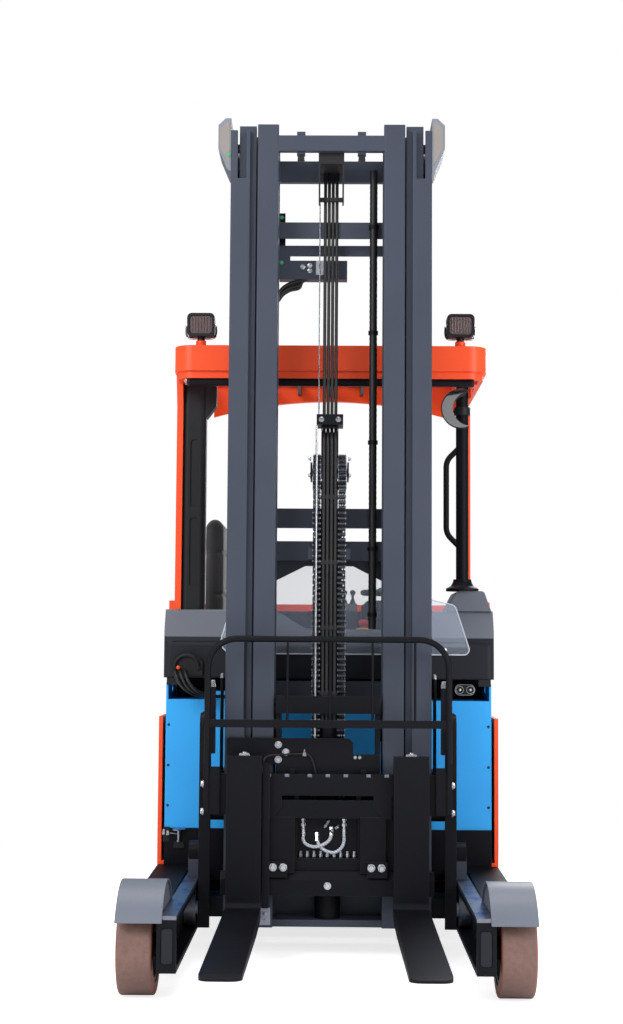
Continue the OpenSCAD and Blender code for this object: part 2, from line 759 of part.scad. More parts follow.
module stop_button() {
    color("#c8202a") {
        rod_z(133, y_body + 110, [valley_z, valley_z + 16], 12);
        translate([133, y_body + 110, valley_z + 14]) rotate_extrude() polygon([
            [0, 0], [14, 0], [22, 6], [22, 14], [19, 20], [10, 24], [0, 25]
        ]);
    }
}
module pedals() {
    color("#17181b") for (y = [y_drive - 190, y_drive - 90, y_drive + 10])
        translate([body_x - 235, y, base_top + tub_wall]) {
            block([0, 12], [0, 70], [0, 80]);
            block([-30, 12], [0, 70], [60, 80]);
        }
}
module lamp_at(x) {
    y = y_guard + 38;
    z = guard_top + 82;
    difference() {
        along_y([y - 20, y + 40]) rounded([x - lamp_w / 2, z - lamp_h / 2], [x + lamp_w / 2, z + lamp_h / 2], 18);
        along_y([y - 21, y - 12])
            rounded([x - lamp_w / 2 + 10, z - lamp_h / 2 + 10], [x + lamp_w / 2 - 10, z + lamp_h / 2 - 10], 12);
    }
    rod_z(x, y + 10, [guard_top, z - lamp_h / 2 + 1], 14);
}
module work_lamps() { color("#1c1d22") for (side = [-1, 1]) lamp_at(side * lamp_x); }
module lamp_lenses() {
    y = y_guard + 38;
    z = guard_top + 82;
    color("#6a4a40") for (side = [-1, 1]) translate([side * lamp_x, 0, 0]) along_y([y - 16, y - 12])
        rounded([-lamp_w / 2 + 11, z - lamp_h / 2 + 11], [lamp_w / 2 - 11, z + lamp_h / 2 - 11], 11);
}
module mirror_unit() {
    color("#e6e8ea") {
        along_y([y_body + 11, y_body + 29]) difference() {
            translate([post_x - 9, 1975]) circle(78);
            translate([post_x + 29, 1975]) circle(72);
        }
        rod_y(post_x - 58, [y_body + 25, y_body + 100], 1975, 9);
        rod_x([post_x - 58, post_x - post_d / 2 - seat_gap], y_body + 100, 1975, 7);
    }
}

module reach_tubes() {
    tube_end = reach_tube_end();
    color("#24262b") for (side = [-1, 1]) difference() {
        rod_y(side * reach_x, [reach_tube_y, tube_end], reach_z, reach_tube_r);
        rod_y(side * reach_x, [reach_tube_y - 1, tube_end - 25], reach_z, reach_rod_r + rod_fit);
    }
}
module reach_rods() {
    color("#c9ccd2") for (side = [-1, 1])
        rod_y(side * reach_x, [reach_back_y, reach_tube_end() - 40], reach_z, reach_rod_r);
}
module reach_side() {
    x0 = leg_in_x - clear - 40;
    x1 = leg_in_x - clear;
    front = outer_y - 22;
    bottom = mast_bottom + 1;
    top = 838;
    along_x([x1 - 16, x1]) difference() {
        union() {
            translate([front, bottom]) square([reach_back_y - front, 433]);
            translate([front, bottom]) square([200, top - bottom - 40]);
            translate([front + 40, bottom]) square([160, top - bottom]);
            translate([front + 40, top - 40]) circle(40);
        }
        translate([front + 150, 420]) circle(45);
    }
    block([x0, x1], [front, front + 16], [bottom, top - 40]);
    block([x0 - 13, x0 + 15], [front + 4, front + 34], [700, 930]);
    rod_z(mast_x + 12, outer_y + 30, [639, 961], 6);
    block([mast_x, x1 - 16], [outer_y + 20, outer_back - 20], [480, 640]);
    block([mast_x, x1 - 16], [outer_y + 20, outer_back - 20], [mast_bottom + 40, mast_bottom + 100]);
    along_x([x1 - 1, leg_in_x + 37]) {
        translate([outer_y + 80, rail_top + clear]) square([76, 80]);
        translate([outer_y + 118, rail_top + clear + 80]) circle(38);
    }
}
module reach_carriage() {
    x1 = leg_in_x - clear;
    color("#24262b") {
        both_sides() reach_side();
        block([-x1, x1], [reach_back_y - reach_plate_t, reach_back_y], [mast_bottom + 1, mast_bottom + 120]);
        block([-x1, x1], [cross_y + 5, reach_back_y], [mast_bottom + 1, reach_floor_z]);
        block([-x1, x1], [reach_back_y - reach_plate_t, reach_back_y], [440, 540]);
    }
}
module reach_rollers() {
    color("#8a8d94") both_sides() for (y = [outer_y - 2, outer_back + 34]) {
        rod_x([leg_in_x + 2, leg_outer_x - leg_wall - 3], y, reach_roller_z, reach_roller_r);
        rod_x([leg_in_x - clear, leg_in_x + 3], y, reach_roller_z, 26);
    }
}

module outer_mast() {
    bars = [[2508, 2546], [1363, 1425], [850, 947]];
    color("#4a5060") {
        both_sides() {
            difference() {
                along_z([mast_bottom, outer_top]) outer_section();
                block([mast_x - 56, mast_x - 24], [outer_y - 1, outer_y + flange_t + 1],
                    [outer_top - 175, outer_top + 1]);
            }
            // top roller in the middle rail's outer channel
            rod_x([middle_web_x + middle_web_t + clear, outer_channel_x + 1], mast_mid_y, 2800,
                middle_roller_r);
            for (z = bars) {
                block([mast_x - 30, mast_x], [outer_back - 1, cross_y + cross_t], z);
                difference() {
                    block([lift_x - 26, lift_x + 26], [cross_y + cross_t - 1, lift_y], z);
                    rod_z(lift_x, lift_y, [z[0] - 1, z[1] + 1],
                        lift_tube_d / 2 + (z[1] > lift_tube_top - 60 ? 3 : 0) + seat_gap);
                }
            }
            along_y([cross_y, cross_y + cross_t]) polygon([
                [mast_x - 130, 1364], [mast_x - 275, 1364], [mast_x - 160, 1306],
                [mast_x, 1306], [mast_x, 1364]
            ]);
        }
        for (z = bars) block([-mast_x, mast_x], [cross_y, cross_y + cross_t], z);
        block([-190, 60], [cross_y, cross_y + 50], [2420, 2490]);
        block([-190, -150], [cross_y, cross_y + cross_t], [2480, 2510]);
    }
}
module head_covers() {
    color("#4b4d52") both_sides() along_y([outer_y + 5, outer_back]) polygon([
        [mast_x, 2765], [mast_x + 14, 2775], [mast_x + 46, 2850], [mast_x + 46, 2935],
        [mast_x + 20, 2960], [mast_x, 2960]
    ]);
}
module lift_tubes() {
    color("#24262b") both_sides() difference() {
        union() {
            rod_z(lift_x, lift_y, [reach_floor_z + seat_gap, lift_tube_top], lift_tube_d / 2);
            rod_z(lift_x, lift_y, [lift_tube_top - 60, lift_tube_top], lift_tube_d / 2 + 3);
        }
        rod_z(lift_x, lift_y, [mast_bottom + 90, lift_tube_top + 1], lift_rod_d / 2 + rod_fit);
    }
}

module middle_mast() {
    beam = [middle_y + middle_depth + 15, middle_y + middle_depth + 40];
    bars = [[2776, 2855], [1500, 1570], [mast_bottom, 300]];
    color("#3c4150") {
        both_sides() {
            difference() {
                along_z([mast_bottom, mast_top]) middle_section();
                block([middle_web_x + middle_web_t, middle_out_x + 1], [middle_y - 1, middle_y + middle_depth + 1],
                    [mast_bottom - 1, mast_bottom + 2 * outer_roller_r + 6]);
            }
            rod_x([middle_web_x + middle_web_t - 1, outer_channel_x - 2], mast_mid_y,
                mast_bottom + outer_roller_r + 1, outer_roller_r);
            for (z = bars)
                block([middle_in_x, middle_in_x + 12], [middle_y + middle_depth - 1, beam[1]], z);
            block([middle_in_x, mast_x - 8], [beam[0] + 11, lift_y + 30], [2795, 2855]);
        }
        difference() {
            for (z = bars) block([-middle_in_x - 12, middle_in_x + 12], beam, z);
            both_sides() block([stage_chain_x - 18, stage_chain_x + 18], [beam[0] - 1, beam[1] + 1], [2788, 2856]);
        }
        both_sides() difference() {
            for (side = [-1, 1]) translate([stage_chain_x + side * 23, 0, 0])
                block([-5, 5], [beam[0], stage_pulley_y + 16], [2820, 2870]);
            rod_x([stage_chain_x - 30, stage_chain_x + 30], stage_pulley_y, 2850, 10 + rod_fit);
        }
    }
}
module lift_rods() {
    color("#c9ccd2") both_sides()
        rod_z(lift_x, lift_y, [mast_bottom + 120, 2795], lift_rod_d / 2);
}
module stage_chains() {
    z = 2850;
    w = 12;
    color("#3a3b40") both_sides() {
        difference() {
            rod_x([stage_chain_x - w, stage_chain_x + w], stage_pulley_y, z, stage_pulley_r + 6);
            rod_x([stage_chain_x - w - 1, stage_chain_x + w + 1], stage_pulley_y, z, 10);
        }
        rod_x([stage_chain_x - 30, stage_chain_x + 30], stage_pulley_y, z, 10);
        block([stage_chain_x - w, stage_chain_x + w], [stage_chain_y - 6, stage_chain_y + 6], [150, z]);
        block([stage_chain_x - w, stage_chain_x + w],
            [stage_pulley_y + stage_pulley_r - 6, stage_pulley_y + stage_pulley_r + 6], [2550, z]);
    }
}

module inner_mast() {
    color("#4a5060") {
        both_sides() {
            along_z([mast_bottom, mast_top]) inner_section();
            for (z = mast_roller_zs)
                rod_x([inner_out_x - 1, middle_web_x - clear], mast_mid_y, z, middle_roller_r);
            block([-124, -94], [inner_y + 14, inner_y + 40], [2830, 2914]);
        }
        block([-inner_in_x - 2, inner_in_x + 2], [inner_y, inner_y + 28], [2840, 2896]);
        block([-inner_in_x - 2, inner_in_x + 2], [inner_y + 20, inner_back], [mast_bottom, mast_bottom + 24]);
        for (z = [[mast_bottom, 340], [1380, 1450], [2560, 2620]])
            block([-inner_in_x - 17, inner_in_x + 17], [inner_back, inner_back + 8], z);
        // clamp that ties the free lift cylinder to the cross plate
        difference() {
            block([-74, 74], [free_y - 20, free_y + 20], [1380, 1420]);
            rod_z(0, free_y, [1379, 1421], free_tube_r);
        }
        both_sides() block([64, 74], [free_y + 19, inner_back + 1], [1380, 1420]);
    }
}
module free_lift_tube() {
    color("#24262b") difference() {
        rod_z(0, free_y, [mast_bottom + 24, free_tube_top], free_tube_r - 0.1);
        rod_z(0, free_y, [mast_bottom + 60, free_tube_top + 1], free_rod_d / 2 + rod_fit);
    }
}
hose_xs = [-21, -7, 7, 21];
module mast_hoses() {
    y = inner_back - hose_d / 2 - 2;
    sheath_x = inner_in_x - sheath_d / 2 - 20;
    color("#111215") {
        for (x = hose_xs) rod_z(x, y, [340, 2801], hose_d / 2);
        both_sides() along_x([40, 46]) polygon(round_off([
            [y - 40, 2682], [inner_back, 2682], [inner_back, 2840], [inner_y + 26, 2840], [inner_y + 26, 2800]
        ], [12, 0, 0, 0, 12]));
        for (z = [2690, 2800]) block([-41, 41], [y - 24, y - 8], [z, z + 14]);
        block([-41, 41], [inner_y + 26, inner_back], [2800, 2840]);
        rod_z(sheath_x, inner_back - 20, [1135, 2806], sheath_d / 2);
        for (z = [1400, 2580]) block([sheath_x - 10, sheath_x + 10], [inner_back - 10, inner_back], [z, z + 24]);
    }
}

module lift_head() {
    color("#24262b") {
        rod_z(0, free_y, [mast_bottom + 70 + head_low, chain_pin_z - 30], free_rod_d / 2);
        block([-24, 24], [free_y - 32, free_y + 32], [chain_pin_z - 80, hose_pin_z]);
        rod_x([-28, 28], free_y - 4, hose_pin_z, hose_bend_r - hose_d / 2 - 0.5);
        both_sides() along_x([27.4, 30.4]) {
            translate([free_y - 4, hose_pin_z]) circle(hose_bend_r);
            translate([free_y - 34, chain_pin_z - 20]) square([60, 1860 - chain_pin_z + 20]);
        }
        both_sides() rod_x([20, chain_x + chain_w / 2 + 6], free_y, chain_pin_z, 14);
        both_sides() block([62, 68], [free_y - 72, free_y + 40], [chain_pin_z - 30, chain_pin_z + 30]);
        block([-47, 47], [free_y - 76, free_y + 40], [1854, 1891]);
        block([-28, 28], [free_y + 30, free_y + 54], [1650, 1669.7]);
    }
}
// A strand that runs over a pulley and down on both sides
module looped_strand(x, w, t, r, pin_z, front_z, back_z) {
    difference() {
        rod_x([x - w / 2, x + w / 2], free_y, pin_z, r + t / 2);
        rod_x([x - w / 2 - 1, x + w / 2 + 1], free_y, pin_z, r - t / 2);
        block([x - w / 2 - 1, x + w / 2 + 1], [free_y - r - t, free_y + r + t], [pin_z - r - t, pin_z]);
    }
    block([x - w / 2, x + w / 2], [free_y - r - t / 2, free_y - r + t / 2], [front_z, pin_z]);
    block([x - w / 2, x + w / 2], [free_y + r - t / 2, free_y + r + t / 2], [back_z, pin_z]);
}
module lift_chains() {
    color("#3a3b40") both_sides() {
        looped_strand(chain_x, chain_w, chain_t, chain_pulley_r, chain_pin_z, 760, 345);
        difference() {
            rod_x([chain_x - 8, chain_x + 8], free_y, chain_pin_z, chain_pulley_r - chain_t / 2);
            rod_x([chain_x - 9, chain_x + 9], free_y, chain_pin_z, 14 + rod_fit);
        }
    }
}
module carriage_hoses() {
    color("#111215") for (x = hose_xs) {
        rod_z(x, free_y - 4 - hose_bend_r, [800, hose_pin_z], hose_d / 2);
        translate([x, free_y - 4, hose_pin_z]) rotate([90, 0, 90]) rotate_extrude(angle = 180)
            translate([hose_bend_r, 0]) circle(hose_d / 2);
        rod_z(x, free_y - 4 + hose_bend_r, [1670, hose_pin_z], hose_d / 2);
    }
}

module lift_carriage() {
    sx = carriage_side_x;
    color("#24262b") {
        both_sides() {
            along_x([sx, sx + 16]) rounded([carriage_back - 1, 270], [inner_mid_y + 40, 900], 14);
            for (z = [340, 800])
                rod_x([sx + 10, inner_out_x - inner_web_t - clear], inner_mid_y, z, inner_roller_r);
            block([sx - 50, sx - 34], [tilt_pin_y - 17, carriage_front + 1], [590, 650]);
            rod_x([sx - 50, sx - 34], tilt_pin_y, tilt_pin_z, 17);
            block([sx - 50, sx - 34], [tilt_pin_y - 8, carriage_front + 1], [tilt_pin_z, 600]);
            rod_x([sx - 66, sx - 34], tilt_pin_y, tilt_pin_z, 9);
            rod_y(100, [carriage_back - 1, carriage_back + 90], 300, 26);
        }
        along_y([carriage_front, carriage_back]) polygon(round_off([
            [-352, 666], [87, 666], [87, 755], [-352, 755]
        ], [0, 22, 22, 8]));
        block([-sx - 16, sx + 16], [carriage_front, carriage_back], [270, 540]);
        block([-sx - 16, sx + 16], [carriage_front, carriage_back], [600, 700]);
        block([-sx - 16, sx + 16], [carriage_front, carriage_back], [840, 900]);
    }
}
module tilt_frame() {
    sx = carriage_side_x;
    color("#1c1d22") {
        difference() {
            block([-300, 300], [tilt_front, tilt_back], [240, 540]);
            block([-105, 105], [tilt_front - 1, tilt_back + 1], [349, 490]);
        }
        both_sides() difference() {
            union() {
                along_x([sx - 66, sx - 51]) {
                    translate([tilt_pin_y, tilt_pin_z]) circle(17);
                    polygon([[tilt_front, 530], [tilt_back, 530], [tilt_pin_y + 17, tilt_pin_z],
                        [tilt_pin_y - 17, tilt_pin_z]]);
                }
            }
            rod_x([sx - 67, sx - 50], tilt_pin_y, tilt_pin_z, 9 + rod_fit);
        }
    }
}
module fork_bars() {
    bar_y = [bar_front, bar_back];
    color("#17181b") {
        difference() {
            block([-upper_bar_half_w, upper_bar_half_w], bar_y, [hook_z, 636]);
            for (x = notch_xs) block([x - 8, x + 8], [bar_front - 1, bar_front + 9], [625, 637]);
        }
        block([-219, 219], [bar_front + 6, bar_back], [486, 547]);
        both_sides() {
            along_y(bar_y) polygon([[219, hook_z + 1], [157, hook_z + 1], [157, 524], [192, 486], [219, 486]]);
            block([228, upper_bar_half_w], bar_y, [498, hook_z + 1]);
            block([218, 229], [bar_front + 6, bar_back], [498, 547]);
            block([112, 200], [bar_front + 3, bar_back], [300, 490]);
            block([clamp_x - 34, clamp_x + 34], [bar_front - 14, bar_front + 6], [288, 341]);
        }
        along_x([-lower_bar_half_w, lower_bar_half_w]) polygon([
            [bar_front, 225], [bar_back, 225], [bar_back, 306], [bar_front + 14, 306], [bar_front, 280]
        ]);
        block([-fork_x + fork_w / 2 + 3, -fork_x + fork_w / 2 + 27], [bar_front - 24, bar_front + 1], [186, 673]);
    }
}
module load_backrest() {
    r = backrest_tube_d / 2;
    y = bar_front - r - 1;
    x = backrest_half_w - r;
    bend = backrest_bend_r;
    color("#1c1d22") {
        rod_x([-x + bend, x - bend], y, backrest_top - r, r);
        both_sides() {
            rod_z(x, y, [640, backrest_top - r - bend], r);
            elbow([x - bend, y, backrest_top - r - bend], bend, r, 0);
            along_x([x - 4, x + r]) polygon(round_off([
                [y - r, 499], [bar_front, 499], [bar_front, 660], [y - r, 690]
            ], [6, 0, 0, 6]));
            block([upper_bar_half_w - 20, x + r], [bar_front - 12, bar_front], [499, 660]);
        }
        for (i = [0:backrest_bars - 1])
            rod_z(6 + (i - (backrest_bars - 1) / 2) * backrest_pitch, y, [800, backrest_top - r], 4.5);
        block([-x - r, x + r], [y - 5, y + 5], [794, 821]);
    }
}
module fork() {
    heel_r = 60;
    root_r = fork_root_r;
    bottom = fork_blade_z - fork_t;
    shank_back = y_face + fork_t;
    half = fork_w / 2;
    intersection() {
        along_x([-half, half]) difference() {
            union() {
                translate([y_face, bottom + heel_r]) square([fork_t, fork_shank_top - bottom - heel_r]);
                translate([shank_back - 1, 636.5]) square([17, 22]);
                polygon([[shank_back - heel_r, bottom], [shank_back - heel_r, fork_blade_z],
                    [y_tip + 40, fork_blade_z], [y_tip, fork_blade_z - 6], [y_tip, fork_blade_z - fork_tip_t],
                    [y_face - 300, bottom]]);
                translate([shank_back - heel_r, bottom + heel_r]) circle(heel_r);
                translate([y_face - root_r, fork_blade_z - 1]) square(root_r + 1);
            }
            translate([y_face - 300, fork_blade_z]) square([300 - root_r, heel_r + 20]);
            translate([y_face - root_r - 1, fork_blade_z + root_r]) square([root_r + 1, heel_r + 20]);
            translate([y_face - root_r, fork_blade_z + root_r]) circle(root_r);
        }
        along_z([0, fork_shank_top + 1]) polygon(round_off([
            [-half, y_tip], [half, y_tip], [half, shank_back + 20], [-half, shank_back + 20]
        ], [fork_tip_r, fork_tip_r, 0, 0]));
    }
}
module fork_right() { color("#26282f") translate([fork_x, 0, 0]) fork(); }
module fork_left() { color("#26282f") translate([-fork_x, 0, 0]) fork(); }

// Free leads from the plug's face to the battery's terminal block, as round numbers
lead_routes = [
    [[-571, 372, 975], [-571, 354, 975], [-569, 334, 970], [-564, 318, 959], [-555, 308, 943], [-542, 306, 925],
        [-524, 312, 908], [-502, 325, 895], [-478, 343, 887], [-453, 364, 883], [-430, 388, 882], [-414, 408, 883],
        [-408, 424, 884], [-408, 440, 884]],
    [[-552, 372, 975], [-552, 354, 975], [-550, 333, 970], [-545, 316, 959], [-536, 305, 943], [-523, 302, 925],
        [-505, 308, 908], [-483, 321, 896], [-459, 339, 888], [-434, 361, 884], [-412, 385, 882], [-396, 406, 883],
        [-390, 424, 884], [-390, 440, 884]],
    [[-534, 372, 975], [-534, 354, 975], [-532, 332, 970], [-527, 314, 959], [-518, 302, 943], [-505, 298, 925],
        [-487, 303, 908], [-465, 316, 897], [-441, 334, 889], [-416, 357, 885], [-394, 382, 882], [-378, 404, 883],
        [-372, 424, 884], [-372, 440, 884]]
];
lead_d = 12;
function unit(v) = v / norm(v);
function ring(path, i, r, sides) =
    let (a = path[max(i - 1, 0)], b = path[min(i + 1, len(path) - 1)], d = unit(b - a),
        u = unit(cross(d, [0, 1, 0.3])), v = cross(d, u))
    [for (k = [0:sides - 1]) path[i] + r * (cos(360 * k / sides) * u + sin(360 * k / sides) * v)];
module tube(path, r, sides) {
    n = len(path);
    polyhedron(
        points = [for (i = [0:n - 1]) each ring(path, i, r, sides)],
        faces = concat(
            [[for (k = [0:sides - 1]) k]],
            [[for (k = [sides - 1:-1:0]) (n - 1) * sides + k]],
            [for (i = [0:n - 2], k = [0:sides - 1]) each let (a = i * sides + k, b = i * sides + (k + 1) % sides)
                [[a, a + sides, b + sides], [a, b + sides, b]]]));
}
module battery_leads() { color("#111215") for (route = lead_routes) tube(route, lead_d / 2, 8); }

chassis_base();
leg_left();
leg_right();
leg_rails();
fenders();
battery();
side_panels();
rear_shell();
cowl();
cab_tub();
overhead_guard();
roof_bars();
pillar_trim();
entry_post();
windscreen();
seat_base();
seat_cushion();
seat_back();
armrest();
steering_console();
control_levers();
stop_button();
pedals();
work_lamps();
lamp_lenses();
mirror_unit();  // mirror
battery_plug();
battery_leads();
reach_tubes();
steer_unit();
drive_tyre();
drive_hub();
load_tyre_left();
load_hub_left();
load_tyre_right();
load_hub_right();
reach_carriage();
reach_rollers();
reach_rods();
outer_mast();
head_covers();
lift_tubes();
middle_mast();
lift_rods();
stage_chains();
inner_mast();
free_lift_tube();
mast_hoses();
lift_head();
lift_chains();
carriage_hoses();
lift_carriage();
tilt_frame();
fork_bars();
load_backrest();
fork_left();
fork_right();
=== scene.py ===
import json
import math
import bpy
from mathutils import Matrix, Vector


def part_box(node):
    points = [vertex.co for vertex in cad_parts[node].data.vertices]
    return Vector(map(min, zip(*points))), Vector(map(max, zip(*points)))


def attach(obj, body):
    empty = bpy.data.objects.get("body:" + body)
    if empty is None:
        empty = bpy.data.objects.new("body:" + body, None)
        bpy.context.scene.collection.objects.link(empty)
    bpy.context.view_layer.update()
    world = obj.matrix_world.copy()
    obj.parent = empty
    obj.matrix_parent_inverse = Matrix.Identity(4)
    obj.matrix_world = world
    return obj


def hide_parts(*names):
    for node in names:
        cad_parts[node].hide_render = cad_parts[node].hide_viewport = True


bl_info = {
    "name": "Reach truck looks",
    "version": (1, 0, 0),
    "blender": (4, 5, 0),
    "location": "View3D > Sidebar > Reach truck",
    "description": "Dresses the reach truck in paint, chains, hoses, fittings and a stuffed seat",
    "category": "Object",
}

import bmesh
import bpy
from bpy.props import FloatProperty, FloatVectorProperty, PointerProperty
from mathutils import Matrix, Vector

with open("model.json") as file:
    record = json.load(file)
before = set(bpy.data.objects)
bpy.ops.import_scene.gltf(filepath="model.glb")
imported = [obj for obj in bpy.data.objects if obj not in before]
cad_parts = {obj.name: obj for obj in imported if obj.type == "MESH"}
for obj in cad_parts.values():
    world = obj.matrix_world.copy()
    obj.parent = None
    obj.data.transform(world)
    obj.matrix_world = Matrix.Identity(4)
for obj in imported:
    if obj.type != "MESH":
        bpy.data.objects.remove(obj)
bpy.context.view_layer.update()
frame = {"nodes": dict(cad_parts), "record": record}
MM = 0.001
X, Y, Z = range(3)
SIDES = ((-1, "left"), (1, "right"))
# sockets of a Mix node that mixes colours: its factor, its two colours and its result
FACTOR, LOW, HIGH, MIXED = 0, 6, 7, 2
# the photograph's camera: where it stands in metres, its turns in degrees and its lens in millimetres
CAMERA_AT = (0.0116, -5.785, 1.075)
CAMERA_TURNS = {"yaw": 0.74, "pitch": 4.64, "roll": 0.39}
CAMERA_LENS = 57.87
# a wave node counts its bands in radians, about 6.3 to a turn
WAVE_TURN = 6.3
# degrees between two faces from which their edge shows sharp, and from which it is bevelled
SHARP_ANGLE, EDGE_ANGLE = 35, 50
# front of the outer mast's crossbars in millimetres
CROSSBAR_Y = 190


def linear(hex_colour):
    """An sRGB hex colour as the linear colour that a shader takes."""
    channels = [int(hex_colour[i : i + 2], 16) / 255 for i in (1, 3, 5)]
    return tuple(c / 12.92 if c <= 0.04045 else ((c + 0.055) / 1.055) ** 2.4 for c in channels)


def shade(colour, share):
    """The same colour, lighter or darker, with its alpha."""
    return tuple(min(1.0, c * share) for c in colour[:3]) + (1.0,)


class TruckColours(bpy.types.PropertyGroup):
    """Colours of the truck's paints and mouldings"""

    orange: FloatVectorProperty(
        name="Body orange", description="Powder coat of the body, guard and side panels",
        subtype="COLOR", min=0, max=1, default=linear("#FF4F1E"))
    battery: FloatVectorProperty(
        name="Battery blue", description="Enamel of the battery tank",
        subtype="COLOR", min=0, max=1, default=linear("#30AAFF"))
    mast: FloatVectorProperty(
        name="Mast grey", description="Enamel of the mast rails and their crossbars",
        subtype="COLOR", min=0, max=1, default=linear("#393F4D"))
    black: FloatVectorProperty(
        name="Chassis black", description="Powder coat of the chassis, legs and carriage",
        subtype="COLOR", min=0, max=1, default=linear("#0D0E15"))
    fender: FloatVectorProperty(
        name="Fender grey", description="Enamel of the load wheel fenders",
        subtype="COLOR", min=0, max=1, default=linear("#646975"))
    # the grey of the cowl's lit upper part; below 1105 mm its moulding is painted near black as shade
    cowl: FloatVectorProperty(
        name="Cowl grey", description="Moulded front cowl",
        subtype="COLOR", min=0, max=1, default=linear("#666A75"))
    tread: FloatVectorProperty(
        name="Tread brown", description="Load wheel treads",
        subtype="COLOR", min=0, max=1, default=linear("#75574F"))
    cloth: FloatVectorProperty(
        name="Seat cloth", description="Woven cover of the seat",
        subtype="COLOR", min=0, max=1, default=linear("#26272C"))


class TruckSizes(bpy.types.PropertyGroup):
    """Sizes of what the scene adds to the truck"""

    lift_pitch: FloatProperty(
        name="Lift chain pitch", description="Pin to pin of the two lift chains",
        unit="LENGTH", min=0.012, max=0.03, default=0.01905)
    stage_pitch: FloatProperty(
        name="Stage chain pitch", description="Pin to pin of the two mast stage chains",
        unit="LENGTH", min=0.015, max=0.04, default=0.0254)
    lead: FloatProperty(
        name="Battery lead", description="Diameter of a battery lead",
        unit="LENGTH", min=0.01, max=0.02, default=0.012)
    edge: FloatProperty(
        name="Edge rounding", description="Radius that paint and wear show along an edge",
        unit="LENGTH", min=0.0005, max=0.006, default=0.0025)
    swell: FloatProperty(
        name="Cushion swell", description="How far a stuffed cushion may bulge",
        unit="LENGTH", min=0.002, max=0.03, default=0.014)
    voxel: FloatProperty(
        name="Cushion voxel", description="Remesh size of a cushion before it is blown up",
        unit="LENGTH", min=0.004, max=0.012, default=0.006)


def wire(tree, node, links):
    """Gives each named input of a node its value, or the output that it takes."""
    for key, value in links.items():
        if isinstance(value, bpy.types.NodeSocket):
            tree.links.new(value, node.inputs[key])
        else:
            node.inputs[key].default_value = value


def add(tree, kind, links=None, **settings):
    """Adds one shader node with its settings, and wires what its inputs take."""
    made = tree.nodes.new("ShaderNode" + kind)
    for key, value in settings.items():
        setattr(made, key, value)
    wire(tree, made, links or {})
    return made


def blank(name):
    """A new material with its shader, and the object's own coordinates in metres."""
    material = bpy.data.materials.new(name)
    material.use_nodes = True
    tree = material.node_tree
    tree.nodes.clear()
    shader = add(tree, "BsdfPrincipled")
    add(tree, "OutputMaterial", {"Surface": shader.outputs["BSDF"]})
    place = add(tree, "TexCoord").outputs["Object"]
    return material, tree, shader, place


def per_mm(size):
    """The scale at which a pattern repeats once in this many millimetres."""
    return 1.0 / (size * MM)


def powder_coat(name, colour, rough, coat, worn, shine=0.3):
    """Baked powder coat on steel: an even satin skin with a faint orange peel, and pale rubbed edges."""
    material, tree, shader, place = blank(name)
    # clouds of handling marks about 300 mm across
    cloud = add(tree, "TexNoise", {"Vector": place, "Scale": per_mm(300), "Detail": 5.0})
    # orange peel is near 1 mm, drawn at 6 mm so that it shows
    peel = add(tree, "TexNoise", {"Vector": place, "Scale": per_mm(6), "Detail": 2.0})
    edge = add(tree, "Bevel", {"Radius": bpy.context.scene.truck_sizes.edge}, samples=4)
    face = add(tree, "NewGeometry")
    turn = add(tree, "VectorMath", {0: edge.outputs["Normal"], 1: face.outputs["Normal"]},
               operation="DOT_PRODUCT")
    # scuffs of 40 mm break the rubbed edge up
    scuff = add(tree, "TexNoise", {"Vector": place, "Scale": per_mm(40), "Detail": 6.0})
    rub = add(tree, "MapRange", {"Value": turn.outputs["Value"], "From Min": 0.99, "From Max": 0.80,
                                 "To Min": 0.0, "To Max": worn})
    rub = add(tree, "Math", {0: rub.outputs["Result"], 1: scuff.outputs["Fac"]}, operation="MULTIPLY")
    tone = add(tree, "Mix", {FACTOR: cloud.outputs["Fac"], LOW: shade(colour, 0.86),
                             HIGH: shade(colour, 1.12)}, data_type="RGBA")
    pale = tuple(0.6 * c + 0.10 for c in colour[:3]) + (1.0,)
    tone = add(tree, "Mix", {FACTOR: rub.outputs["Value"], LOW: tone.outputs[MIXED], HIGH: pale},
               data_type="RGBA")
    matt = add(tree, "MapRange",
               {"Value": cloud.outputs["Fac"], "To Min": rough - 0.07, "To Max": rough + 0.1})
    bump = add(tree, "Bump", {"Strength": 0.25, "Distance": 0.0006, "Height": peel.outputs["Fac"],
                              "Normal": edge.outputs["Normal"]})
    wire(tree, shader, {"Base Color": tone.outputs[MIXED], "Roughness": matt.outputs["Result"],
                        "Normal": bump.outputs["Normal"], "Specular IOR Level": shine, "Coat Weight": coat,
                        "Coat Roughness": 0.2})
    return material


